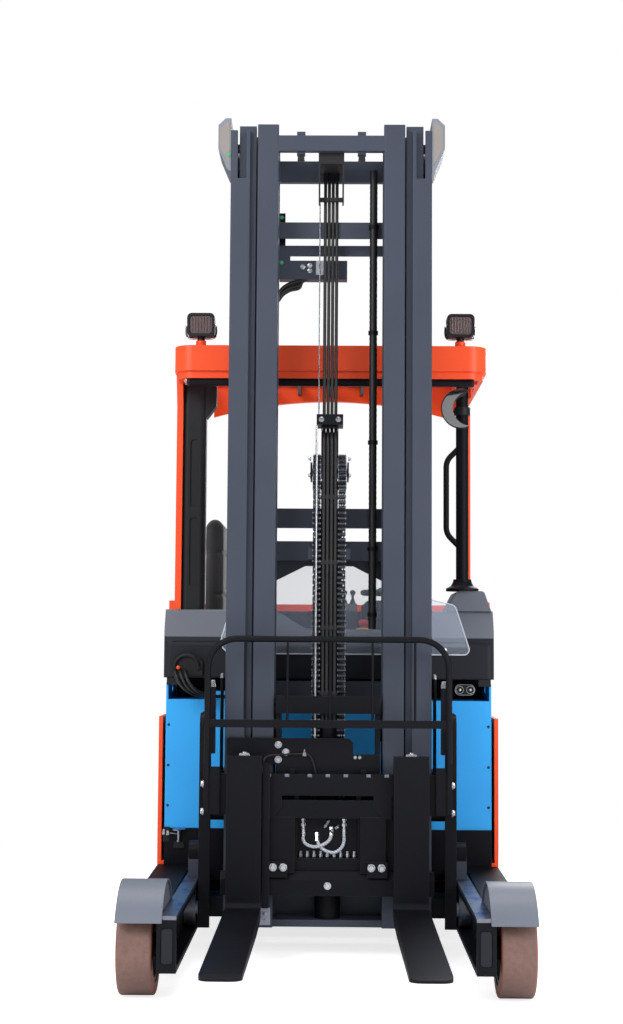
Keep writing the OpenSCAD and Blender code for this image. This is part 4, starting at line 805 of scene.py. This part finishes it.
def lay_hose_bunch():
    """Fittings, caps and hoses on the back of the outer mast, left of its middle."""
    low, high = (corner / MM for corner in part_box("head_covers"))
    # these fittings stay behind the crossbars of the middle stage, whose backs are 5 mm before this face
    back = CROSSBAR_Y
    unions, caps, hoses = Shape(), Shape(), Shape()
    unions.box((-56, back - 3.5, 2436), (-24, back + 1, 2489), taper=1)
    for x, z in ((-78, 2472), (-78, 2452), (-104, 2466)):
        unions.turned((x, back, z), (0, -1, 0), [(0, 10), (2.5, 10), (3.5, 7)], 6)
    for k in range(4):
        y, z = 200 + 6 * (k % 2), 2416 - 8 * k
        hoses.tube(smooth_route([(-84 - 8 * k, y, 2424), (-116, y, z), (-150, y, z - 10), (-176, y, z - 26),
                                 (-194, y, z - 50)]), 6.5, 12)
    piece(unions, "mast_unions", "chain_pins", "reach_stage", edge=0.5)
    piece(hoses, "mast_hose_bunch", "hose_rubber", "reach_stage")
    for x, y, z in ((-182, back, 2651), (-182, back, 2482), (-(high.x - 38), low.y - 1, 2826)):
        caps.turned((x, y, z), (0, -1, 0), [(0, 7), (3, 7), (3.6, 4)], 16)
    piece(caps, "mast_plug_caps", "green_plastic", "reach_stage")
    holder = Shape()
    holder.box((-200, back, 2540), (-168, back + 8, 2668), taper=1)
    piece(holder, "mast_cap_holder", "black_paint", "reach_stage", edge=1)


def hang_mast_hose():
    """The sheathed hose with its clips, and the thin cable beside the lift chains."""
    x, y, r = 155, 118, 14
    sheath = Shape()
    sheath.tube([(x, y, z) for z in range(1135, 2806, 10)], r, 16, 0.03)
    piece(sheath, "mast_sheathed_hose", "hose_rubber", "inner_stage")
    clips = Shape()
    for z in (1180, 1415, 1800, 2200, 2590):
        clips.ring((x, y, z), (0, 0, 1), [(0, r + 0.5), (0, r + 4), (14, r + 4), (14, r + 0.5)], 24)
        clips.box((x - 12, y + 13, z), (x + 12, y + 19.5, z + 14))
    piece(clips, "mast_hose_clips", "black_paint", "inner_stage")
    x, y = -40.4, 133
    cable = Shape()
    cable.rod((x, y, 1900), (x, y, 2690), 2.6, 10)
    piece(cable, "mast_cable", "zinc_plate", "inner_stage")


def dress_mast_ends():
    """Buffers at the top of the inner mast, and bosses and caps at the mast's foot."""
    pads = Shape()
    for side in (-1, 1):
        pads.box((side * 109 - 13, -10, 2806), (side * 109 + 13, 14, 2829), taper=2)
    piece(pads, "mast_buffers", "hose_rubber", "inner_stage", edge=2)

    # painted bosses beside the legs
    bosses = Shape()
    outline = [(61, 240)] + arc(100, 318, 39, 180, 0, 12) + [(139, 240)]
    for side in (-1, 1):
        bosses.loft([[(side * x, y, z) for y, z in outline] for x in (452, 487.8)])
    piece(bosses, "reach_side_bosses", "mast_paint", "reach_stage")
    bright = Shape()
    for side in (-1, 1):
        bright.box((side * 406 - 15, -38, 930), (side * 406 + 15, -4, 953), taper=4)
        bright.turned((side * 372, 12, 960), (0, 0, 1), [(0, 7), (12, 7), (17, 3)], 16)
    piece(bright, "reach_side_caps", "zinc_plate", "reach_stage", edge=1)


class TRUCK_OT_mast(bpy.types.Operator):
    """Bolts, welds, covers, hoses, cable, buffers and bosses of the mast"""

    bl_idname = "truck.mast"
    bl_label = "Mast fittings"

    def execute(self, context):
        fasten_crossbars()
        edge_head_covers()
        lay_hose_bunch()
        hang_mast_hose()
        dress_mast_ends()
        return {"FINISHED"}


class TRUCK_OT_head(bpy.types.Operator):
    """Cable, hose clamps and bolts of the lift head"""

    bl_idname = "truck.head"
    bl_label = "Lift head fittings"

    def execute(self, context):
        cable = Shape()
        x, y = -46, -13
        cable.tube([(x, y, z) for z in range(700, 1851, 50)], 4, 12)
        piece(cable, "head_cable", "zinc_plate", "head_stage")
        clamps = Shape()
        for z in (900, 1130, 1360, 1590):
            clamps.box((-32, 0, z), (32, 14, z + 16), taper=1)
        piece(clamps, "head_hose_clamps", "moulded_black", "head_stage", edge=1)
        bolts = Shape()
        for z in (1680, 1740):
            for side in (-1, 1):
                bolts.bolt((side * 68, 40, z), (side, 0, 0), across=13, head=6)
        for x in (-30, 30):
            bolts.bolt((x, -14, 1872), (0, -1, 0), across=13, head=6)
        piece(bolts, "head_bolts", "zinc_plate", "head_stage")
        return {"FINISHED"}


def fasten_carriage():
    """Bolts of the lift carriage, and the cable that leads to them in its clip."""
    bolts = Shape()
    for x, z in ((-172, 732), (-146, 707), (-172, 681)):
        bolts.bolt((x, -37.5, z), (0, -1, 0), across=17, head=8)
    for x in (94, 110):
        bolts.bolt((x, -37.5, 690), (0, -1, 0), across=8, head=4)
    piece(bolts, "carriage_bolts", "zinc_plate", "carriage_stage")
    cable = Shape()
    route = [(-221, -62, 668), (-219, -62, 684), (-208, -58, 694), (-184, -50, 698), (-136, -46, 700),
             (-81, -45, 701), (-62, -46, 694), (-50, -48, 670), (-43, -50, 640), (-40, -50, 610)]
    cable.tube(smooth_route(route), 3, 10)
    piece(cable, "carriage_cable", "hose_rubber", "carriage_stage")
    clip = Shape()
    clip.box((-87, -49, 694), (-75, -37, 708), taper=1)
    clip.turned((-81, -49, 708), (0, -0.3, 1), [(0, 3), (9, 3), (10, 2)], 8)
    piece(clip, "carriage_cable_clip", "zinc_plate", "carriage_stage")


def lay_braided_hoses():
    """Two looped braided hoses with their ends, over a row of unions."""
    hoses, ends, row = Shape(), Shape(), Shape()
    left = [(-84, -43, 425), (-83, -45, 408), (-72, -48, 393), (-44, -48, 385), (-16, -48, 392),
            (6, -46, 408), (14, -40, 428)]
    right = [(57, -42, 425), (57, -43, 404), (48, -45, 382), (24, -46, 366), (-4, -45, 371), (-26, -43, 386),
             (-36, -39, 408)]
    for route in (left, right):
        hoses.tube(smooth_route(route), 6, 12, 0.05)
        x, y, z = route[0]
        ends.turned((x, y, z - 4), (0, 0, 1), [(0, 8), (26, 8), (27, 6), (34, 6)], 16)
        ends.turned((x, y, z + 30), (0, 0, 1), [(0, 9.5), (10, 9.5), (11, 6), (18, 6), (19, 8.5), (26, 8.5)],
                    6)
        x, y, z = route[-1]
        ends.turned((x, y, z - 4), (0, 0.3, 1), [(0, 8), (16, 8), (17, 9.5), (28, 9.5)], 6)
    for x in range(-92, 100, 23):
        row.turned((x, -45, 351), (0, 0, 1), [(0, 6.5), (9, 6.5), (10, 4.5), (20, 4.5)], 6)
    for x, z in ((-10, 452), (12, 436), (-2, 466), (30, 448)):
        row.turned((x, -44, z), (0.4, -0.5, 0.6), [(0, 6), (10, 6), (11, 4), (18, 4)], 6)
    piece(hoses, "carriage_braided_hoses", "braided_hose", "carriage_stage")
    piece(ends, "carriage_hose_ends", "zinc_plate", "carriage_stage")
    piece(row, "carriage_unions", "chain_pins", "carriage_stage")


class TRUCK_OT_carriage(bpy.types.Operator):
    """Bolts, cable, braided hoses and unions of the lift carriage and tilt frame"""

    bl_idname = "truck.carriage"
    bl_label = "Carriage fittings"

    def execute(self, context):
        fasten_carriage()
        lay_braided_hoses()
        return {"FINISHED"}


class TRUCK_OT_forks(bpy.types.Operator):
    """Bolts, latches, hook notches and shoe of the fork bars"""

    bl_idname = "truck.forks"
    bl_label = "Fork bar fittings"

    def execute(self, context):
        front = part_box("fork_bars")[1].y / MM - 25
        bolts, tabs, notches, foot = Shape(), Shape(), Shape(), Shape()
        bolts.bolt((1, front, 259), (0, -1, 0), across=17, head=8)
        for side in (-1, 1):
            for x in (150, 185):
                bolts.bolt((side * x, front - 14, 322), (0, -1, 0), across=18, head=9)
            for z in (508, 601):
                bolts.bolt((side * 425, front - 12, z), (side, 0, 0), across=18, head=7)
            tabs.box((side * 285 - 19, -126, 699.5), (side * 285 + 19, -100, 707), taper=2)
            tabs.turned((side * 285, -113, 706), (0, 0, 1), [(0, 9), (5, 9), (7, 6)], 16)
        for x in (-202, -140, -62, 0, 62, 140, 202):
            notches.box((x - 7.8, front + 7.4, 625.2), (x + 7.8, front + 9.4, 635.8), taper=0.2)
        # shoe under the strip beside the left fork
        foot.box((-230, front - 22, 130), (-192, front - 18, 188), taper=1)
        foot.box((-218, front - 22, 184), (-202, front - 4, 188), taper=0.5)
        for z in (145, 168):
            foot.turned((-211, front - 22, z), (0, -1, 0), [(-1, 7), (1.5, 7), (2.2, 4)], 12)
        piece(bolts, "fork_bar_bolts", "zinc_plate", "fork_stage")
        piece(tabs, "fork_latches", "zinc_plate", "fork_stage", edge=1)
        piece(notches, "fork_bar_notches", "worn_steel", "fork_stage")
        piece(foot, "fork_bar_shoe", "worn_steel", "fork_stage")
        return {"FINISHED"}


def rounded_path(corners, steps=6):
    """Points round a closed outline of (u, v, radius) corners."""
    found = []
    for i, (u, v, r) in enumerate(corners):
        here = Vector((u, v))
        a = (Vector(corners[i - 1][:2]) - here).normalized()
        b = (Vector(corners[(i + 1) % len(corners)][:2]) - here).normalized()
        half = a.angle(b) / 2
        middle = here + (a + b).normalized() * r / math.sin(half)
        start, end = (here + way * r / math.tan(half) - middle for way in (a, b))
        turn = math.pi - 2 * half
        for k in range(steps + 1):
            t = k / steps
            swung = start * math.sin((1 - t) * turn) + end * math.sin(t * turn)
            found.append(tuple(middle + swung / math.sin(turn)))
    return found


def lay_floor_mat():
    """Studded mat on the cab's floor."""
    mat = Shape()
    for i in range(11):
        for j in range(9):
            mat.turned((150 + 36 * i, 800 + 40 * j, 409), (0, 0, 1), [(0, 11), (3, 9)], 10)
    mat.box((130, 780, 408.3), (530, 1140, 410), taper=0.5)
    piece(mat, "cab_floor_mat", "floor_mat", "chassis")


def pad_pedals():
    """A ribbed rubber pad on each pedal."""
    x = 364
    pads = Shape()
    for y in (825, 925, 1025):
        pads.box((x, y + 3, 486), (x + 44, y + 67, 494), taper=2)
        for k in range(5):
            pads.box((x + 4 + 8 * k, y + 8, 493), (x + 8 + 8 * k, y + 62, 496), taper=1)
    piece(pads, "cab_pedal_pads", "hose_rubber", "chassis")


def dress_controls():
    """Knob and boss of the steering wheel, collar of the stop button, lever gaiters."""
    knob, gaiters = Shape(), Shape()
    knob.turned((225, 590, 1296), (0, 0, 1), [(0, 8), (16, 8), (22, 19), (40, 22), (52, 17), (56, 6)], 24)
    knob.turned((225, 673, 1288), (0, 0, 1), [(0, 40), (8, 38), (14, 30)], 32)
    piece(knob, "cab_wheel_knob", "moulded_black", "chassis", edge=1)
    collar = Shape()
    collar.turned((133, 510, 1136.5), (0, 0, 1), [(0, 30), (4, 30), (7, 26)], 32)
    piece(collar, "cab_stop_collar", "yellow_plastic", "chassis")
    for x in (-36, -4, 28, 60, 92):
        gaiters.turned((x, 688, 1238.5), (0, 0, 1),
                       [(0, 14), (4, 14), (6, 10), (10, 11), (12, 8), (16, 9), (18, 6)], 20)
    piece(gaiters, "cab_lever_gaiters", "hose_rubber", "chassis")


def edge_windscreen():
    """Pale edging round the windscreen and the buttons that hold it."""
    edging = Shape()
    corners = [(-419, 1044, 45), (532, 1044, 20), (472, 1228, 24), (386, 1248, 40), (200, 1381, 40),
               (-200, 1381, 40), (-359, 1248, 60)]
    outline, screen_y = rounded_path(corners), 397.5
    edging.tube([(x, screen_y, z) for x, z in outline + outline[:2]], 2.4, 8)
    piece(edging, "cab_screen_edging", "sheet_edge", "chassis")
    posts = Shape()
    for x in (-330, 0, 430):
        posts.turned((x, screen_y - 2.5, 1060), (0, -1, 0), [(0, 11), (4, 11), (6, 7)], 20)
    piece(posts, "cab_screen_buttons", "zinc_plate", "chassis")


class TRUCK_OT_cab(bpy.types.Operator):
    """Floor mat, pedal pads, wheel knob, gaiters, button collar and screen edging"""

    bl_idname = "truck.cab"
    bl_label = "Cab fittings"

    def execute(self, context):
        lay_floor_mat()
        pad_pedals()
        dress_controls()
        edge_windscreen()
        return {"FINISHED"}


class TRUCK_OT_guard(bpy.types.Operator):
    """Lamp studs and brackets, tube ends, bolts and lens ribs of the overhead guard"""

    bl_idname = "truck.guard"
    bl_label = "Guard fittings"

    def execute(self, context):
        studs, brackets, ends, bolts = Shape(), Shape(), Shape(), Shape()
        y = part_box("work_lamps")[0].y / MM + 30
        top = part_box("overhead_guard")[1].z / MM
        lamp_x = 489
        for side in (-1, 1):
            x = side * lamp_x
            studs.turned((x, y, top), (0, 0, 1), [(0, 26), (6, 26), (9, 20), (22, 20), (25, 15)], 24)
            hoop = [(x - 56, y, top + 82), (x - 56, y, top + 50), (x - 44, y, top + 34), (x, y, top + 32),
                    (x + 44, y, top + 34), (x + 56, y, top + 50), (x + 56, y, top + 82)]
            brackets.tube(smooth_route(hoop, 5), 4, 10)
            for s in (-1, 1):
                bolts.bolt((x + s * 52, y, top + 82), (s, 0, 0), across=11, head=5)
            ends.turned((side * 528, 336, 2059), (side, 0, 0), [(0, 15.5), (8, 15.5), (11, 11)], 24)
            for bolt_y in (420, 1120):
                bolts.bolt((side * 560, bolt_y, top), (0, 0, 1), across=15, head=7)
        piece(studs, "guard_lamp_studs", "orange_paint", "chassis")
        piece(brackets, "guard_lamp_brackets", "hard_chrome", "chassis")
        piece(ends, "guard_tube_ends", "moulded_black", "chassis")
        piece(bolts, "guard_bolts", "zinc_plate", "chassis")
        ribs = Shape()
        low, high = (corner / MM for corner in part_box("lamp_lenses"))
        for side in (-1, 1):
            for k in range(7):
                x = side * lamp_x - 33 + 11 * k
                ribs.rod((x, low.y - 0.6, low.z + 5), (x, low.y - 0.6, high.z - 5), 2.4, 8)
        piece(ribs, "guard_lens_ribs", "lamp_glass", "chassis")
        return {"FINISHED"}


class TRUCK_OT_mirror(bpy.types.Operator):
    """Crescent mirror with its black back, rim and arm"""

    bl_idname = "truck.mirror"
    bl_label = "Mirror"

    def execute(self, context):
        # a round mirror of which a smaller round bites the right side away
        x, z = 498, 1975
        outline = arc(x, z, 78, 66.7, 293.3, 32) + arc(x + 38, z, 72, 264.3, 95.7, 24)[1:-1]
        centre_x, centre_z = (sum(point[i] for point in outline) / len(outline) for i in (0, 1))

        def drawn_in(share, y):
            """The outline at one depth, drawn in towards its centre."""
            return [(centre_x + (u - centre_x) * share, y, centre_z + (v - centre_z) * share)
                    for u, v in outline]

        back = Shape()
        back.loft([drawn_in(0.7, 428), drawn_in(0.95, 424), drawn_in(1.0, 414), drawn_in(0.97, 411.5)])
        # its arm, and the clamp that holds the arm to the entry post
        arm_x, arm_y = 449, 500
        back.rod((arm_x, 424, z), (arm_x, arm_y + 6, z), 9)
        back.rod((arm_x, arm_y, z), (484, arm_y, z), 7)
        back.ring((507, arm_y, z - 15), (0, 0, 1), [(0, 24.4), (0, 31), (30, 31), (30, 24.4)], 28)
        made = piece(back, "mirror_shell", "moulded_black", "chassis")
        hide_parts("mirror")
        face = Shape()
        face.loft([drawn_in(0.93, 411.4), drawn_in(0.9, 411.1)])
        piece(face, "mirror_glass", "mirror_face", "chassis")
        return {"FINISHED"}


def close_cowl_corners():
    """Plates that close the gap over the battery's outer corners."""
    gussets = Shape()
    front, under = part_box("cowl")[0].y / MM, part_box("cowl")[0].z / MM
    for side in (-1, 1):
        gussets.box((side * 583 - 23, front + 2, 926), (side * 583 + 23, front + 6, under))
    piece(gussets, "cowl_gussets", "moulded_black", "chassis")


def fit_battery_socket():
    """Two pin socket over the battery, and the key of the plug beside it."""
    socket, rim, pins = Shape(), Shape(), Shape()
    oval = rounded_path([(475, 893, 19), (550, 893, 19), (550, 933, 19), (475, 933, 19)])
    centre = Vector((512.5, 913))
    face_y, z = 437.5, centre.y
    for shape, share, y0, y1 in ((rim, 1.0, 441, 468), (socket, 0.93, 437, 442)):
        outline = [centre + (Vector(p) - centre) * share for p in oval]
        shape.slab(outline, y0, y1)
    for x in (493, 532):
        pins.turned((x, face_y, z), (0, -1, 0), [(0, 5), (2, 5), (3, 3)], 16)
        pins.ring((x, face_y, z), (0, -1, 0), [(0, 13), (0, 14.5), (1.5, 14.5), (1.5, 13)], 28)
    piece(rim, "battery_socket", "chain_pins", "chassis")
    piece(socket, "battery_socket_face", "moulded_black", "chassis")
    piece(pins, "battery_socket_pins", "zinc_plate", "chassis")
    key = Shape()
    key.turned((-560, 372, 990), (0, -1, 0), [(0, 7), (12, 7), (14, 4)], 16)
    piece(key, "battery_plug_key", "orange_paint", "chassis")


def seam_cowl():
    """The seam across the cowl's front, under its slope."""
    seams = Shape()
    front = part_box("cowl")[0].y / MM
    seams.box((-590, front - 0.6, 1088), (590, front + 0.4, 1090.5))
    piece(seams, "cowl_seams", "moulded_grey", "chassis")


def dress_battery():
    """Plugs along the battery's side flanges, and the cover of its terminals."""
    plugs, cover = Shape(), Shape()
    for side in (-1, 1):
        for z in (777, 627, 479):
            plugs.turned((side * 597, 408.4, z), (0, -1, 0), [(0, 6), (0.9, 5)], 16)
    piece(plugs, "battery_flange_plugs", "hose_rubber", "chassis")
    cover.box((-427, 441, 898), (-353, 494, 905), taper=2)
    piece(cover, "battery_terminal_cover", "moulded_black", "chassis", edge=1)


def fit_battery_catch():
    """Catch under the battery's corner: a black frame, its latch and a lever on a pin."""
    catch, latch, lever = Shape(), Shape(), Shape()
    catch.box((-612, 398, 346), (-586, 407, 400), taper=2)
    catch.box((-590, 400, 362), (-530, 407, 388), taper=2)
    catch.box((-572, 394, 322), (-532, 406, 346), taper=2)
    latch.box((-614, 394, 372), (-604, 399, 392), taper=1)
    latch.box((-600, 394, 370), (-588, 399, 386), taper=1)
    lever.turned((-552, 396, 396), (0, 0, -1),
                 [(0, 20), (3, 26), (7, 24), (9, 8), (44, 6), (44, 9), (50, 8)], 20)
    lever.rod((-586, 396, 378), (-556, 396, 374), 3)
    piece(catch, "battery_catch", "moulded_black", "chassis", edge=1)
    piece(latch, "battery_latch", "zinc_plate", "chassis", edge=1)
    piece(lever, "battery_catch_lever", "worn_steel", "chassis")


def close_body():
    """Flat bolts of the side panels, and the blocks that close the legs' front ends."""
    bolts = Shape()
    for side in (-1, 1):
        for y, z in ((450, 775), (700, 775), (450, 290), (700, 290)):
            bolts.bolt((side * 631.6, y, z), (side, 0, 0), across=12, head=1.2)
    piece(bolts, "body_bolts", "zinc_plate", "chassis")
    # a block closes each leg's front end
    ends = Shape()
    for side in (-1, 1):
        outline = rounded_path([(side * 461, 122, 9), (side * 494, 122, 9), (side * 494, 226, 9),
                                (side * 461, 226, 9)])
        ends.slab(outline, -769, -777)
    piece(ends, "leg_end_blocks", "moulded_grey", "chassis", edge=1)


class TRUCK_OT_body(bpy.types.Operator):
    """Seam, catch, plugs and socket of the cowl and battery, panel bolts and leg ends"""

    bl_idname = "truck.body"
    bl_label = "Body fittings"

    def execute(self, context):
        close_cowl_corners()
        fit_battery_socket()
        seam_cowl()
        dress_battery()
        fit_battery_catch()
        close_body()
        return {"FINISHED"}


def gridded_block(name, low, high, rounding):
    """A block between two corners with rounded edges and an even grid of faces, ready to be blown up."""
    block = Shape()
    block.box(low, high)
    mesh = bpy.data.meshes.new(name)
    bmesh.ops.recalc_face_normals(block.bm, faces=block.bm.faces)
    block.bm.to_mesh(mesh)
    block.bm.free()
    made = bpy.data.objects.new(name, mesh)
    bpy.context.scene.collection.objects.link(made)
    soft = made.modifiers.new("Round", "BEVEL")
    soft.width, soft.segments = rounding * MM, 4
    grid = made.modifiers.new("Grid", "REMESH")
    grid.mode, grid.voxel_size = "VOXEL", bpy.context.scene.truck_sizes.voxel
    graph = bpy.context.evaluated_depsgraph_get()
    fine = bpy.data.meshes.new_from_object(made.evaluated_get(graph))
    made.modifiers.clear()
    made.data = fine
    return made


def blown_up(made):
    """Where the vertices of an object come to lie when it is blown up as cloth."""
    last = 20
    cloth = made.modifiers.new("Stuffing", "CLOTH")
    cloth.settings.use_pressure = True
    cloth.settings.uniform_pressure_force = 4.0
    cloth.settings.effector_weights.gravity = 0.0
    cloth.settings.mass = 0.3
    cloth.settings.quality = 5
    cloth.point_cache.frame_start, cloth.point_cache.frame_end = 1, last
    for step in range(1, last + 1):
        bpy.context.scene.frame_set(step)
    moved = made.evaluated_get(bpy.context.evaluated_depsgraph_get()).to_mesh()
    spots = [v.co.copy() for v in moved.vertices]
    made.modifiers.clear()
    bpy.context.scene.frame_set(1)
    return spots


def sew(mesh, seams):
    """Draws the cover in along each seam: the axis it crosses, its place, its depth and the side it is on."""
    # a seam's groove is 5 mm wide each way and has no effect beyond three times that
    half, reach, side_on = 5, 3, 0.25
    normals = [v.normal.copy() for v in mesh.vertices]
    for vertex, normal in zip(mesh.vertices, normals):
        for axis, at, depth, facing in seams:
            if normal[facing] > side_on:
                gap = abs(vertex.co[axis] - at * MM) / (half * MM)
                if gap < reach:
                    vertex.co -= normal * depth * MM * math.exp(-gap * gap)


def stuffed(name, low, high, inset, seams):
    """A cushion: a drawn-in block blown up as cloth, kept inside the corners, seamed and smoothed."""
    swell = bpy.context.scene.truck_sizes.swell
    low, high = Vector(low), Vector(high)
    margin = Vector((inset,) * 3)
    made = gridded_block(name, low + margin, high - margin, 0.4 * min(high - low))
    fine = made.data
    rest = [v.co.copy() for v in fine.vertices]
    blown = blown_up(made)
    floor, roof = low * MM, high * MM
    for vertex, a, b in zip(fine.vertices, rest, blown):
        way = b - a
        if way.length > swell:
            way = way.normalized() * swell
        spot = a + way
        vertex.co = [min(max(spot[i], floor[i]), roof[i]) for i in range(3)]
    sew(fine, seams)
    fine.materials.append(finish("seat_fabric"))
    fine.polygons.foreach_set("use_smooth", [True] * len(fine.polygons))
    blend = made.modifiers.new("Smooth", "SMOOTH")
    blend.factor, blend.iterations = 0.5, 2
    return made


class TRUCK_OT_seat(bpy.types.Operator):
    """Stuffed seat cushion, seat back and armrest with their seams and piping"""

    bl_idname = "truck.seat"
    bl_label = "Seat"

    def execute(self, context):
        rows = (925, 1125)
        plans = [("seat_cushion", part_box("seat_cushion"), 10,
                  [(X, at, 7, Z) for at in (-250, -80)] + [(Y, at, 7, Z) for at in rows]),
                 ("seat_back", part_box("seat_back"), 9,
                  [(Z, at, 7, X) for at in (1100, 1280, 1450)] + [(Y, at, 6, X) for at in rows]),
                 ("armrest", (Vector((-0.410, 0.771, 1.120)), Vector((-0.130, 0.827, 1.165))), 4, [])]
        for node, (low, high), inset, seams in plans:
            cushion = stuffed(node + "_pad", low / MM, high / MM, inset, seams)
            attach(cushion, "chassis")
            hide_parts(node)
        arm = Shape()
        arm.box((-470, 793, 1122), (-400, 811, 1158), taper=2)
        arm.box((-470, 793, 1100), (-440, 834, 1160), taper=2)
        piece(arm, "armrest_arm", "moulded_black", "chassis", edge=2)
        low, high = (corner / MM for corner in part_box("seat_cushion"))
        (x0, y0), (x1, y1) = low.xy, high.xy
        top = high.z - 26
        # the cord goes from the seat back round the cushion's front and returns to the seat back
        loop = [(x0 + 14, y0 + 20, top), (x1 - 40, y0 + 12, top), (x1 - 14, y0 + 40, top - 2),
                (x1 - 10, (y0 + y1) / 2, top - 4), (x1 - 14, y1 - 40, top - 2), (x1 - 40, y1 - 12, top),
                (x0 + 14, y1 - 20, top)]
        piping = Shape()
        piping.tube(smooth_route(loop, 8), 3.5, 8)
        piece(piping, "seat_piping", "seat_piping", "chassis")
        return {"FINISHED"}


class TRUCK_PT_panel(bpy.types.Panel):
    """Lists the steps that dress the truck"""

    bl_label = "Reach truck"
    bl_idname = "TRUCK_PT_panel"
    bl_space_type = "VIEW_3D"
    bl_region_type = "UI"
    bl_category = "Reach truck"

    def draw(self, context):
        for group in (context.scene.truck_colours, context.scene.truck_sizes):
            for name in group.bl_rna.properties.keys():
                if name not in ("rna_type", "name"):
                    self.layout.prop(group, name)
        for step in STEPS:
            self.layout.operator(step.bl_idname)


STEPS = (TRUCK_OT_stage, TRUCK_OT_leads, TRUCK_OT_finishes, TRUCK_OT_chains, TRUCK_OT_wheels, TRUCK_OT_mast,
         TRUCK_OT_head, TRUCK_OT_carriage, TRUCK_OT_forks, TRUCK_OT_cab, TRUCK_OT_guard, TRUCK_OT_mirror,
         TRUCK_OT_body, TRUCK_OT_seat)
CLASSES = (TruckColours, TruckSizes) + STEPS + (TRUCK_PT_panel,)


def register():
    """Registers the classes and gives the scene its colours and sizes."""
    for one in CLASSES:
        bpy.utils.register_class(one)
    bpy.types.Scene.truck_colours = PointerProperty(type=TruckColours)
    bpy.types.Scene.truck_sizes = PointerProperty(type=TruckSizes)


def unregister():
    """Takes the scene's colours and sizes and the classes away again."""
    del bpy.types.Scene.truck_sizes
    del bpy.types.Scene.truck_colours
    for one in reversed(CLASSES):
        bpy.utils.unregister_class(one)


def main():
    """Dresses the truck step by step."""
    register()
    for step in STEPS:
        group, name = step.bl_idname.split(".")
        getattr(getattr(bpy.ops, group), name)()


if __name__ == "__main__":
    main()
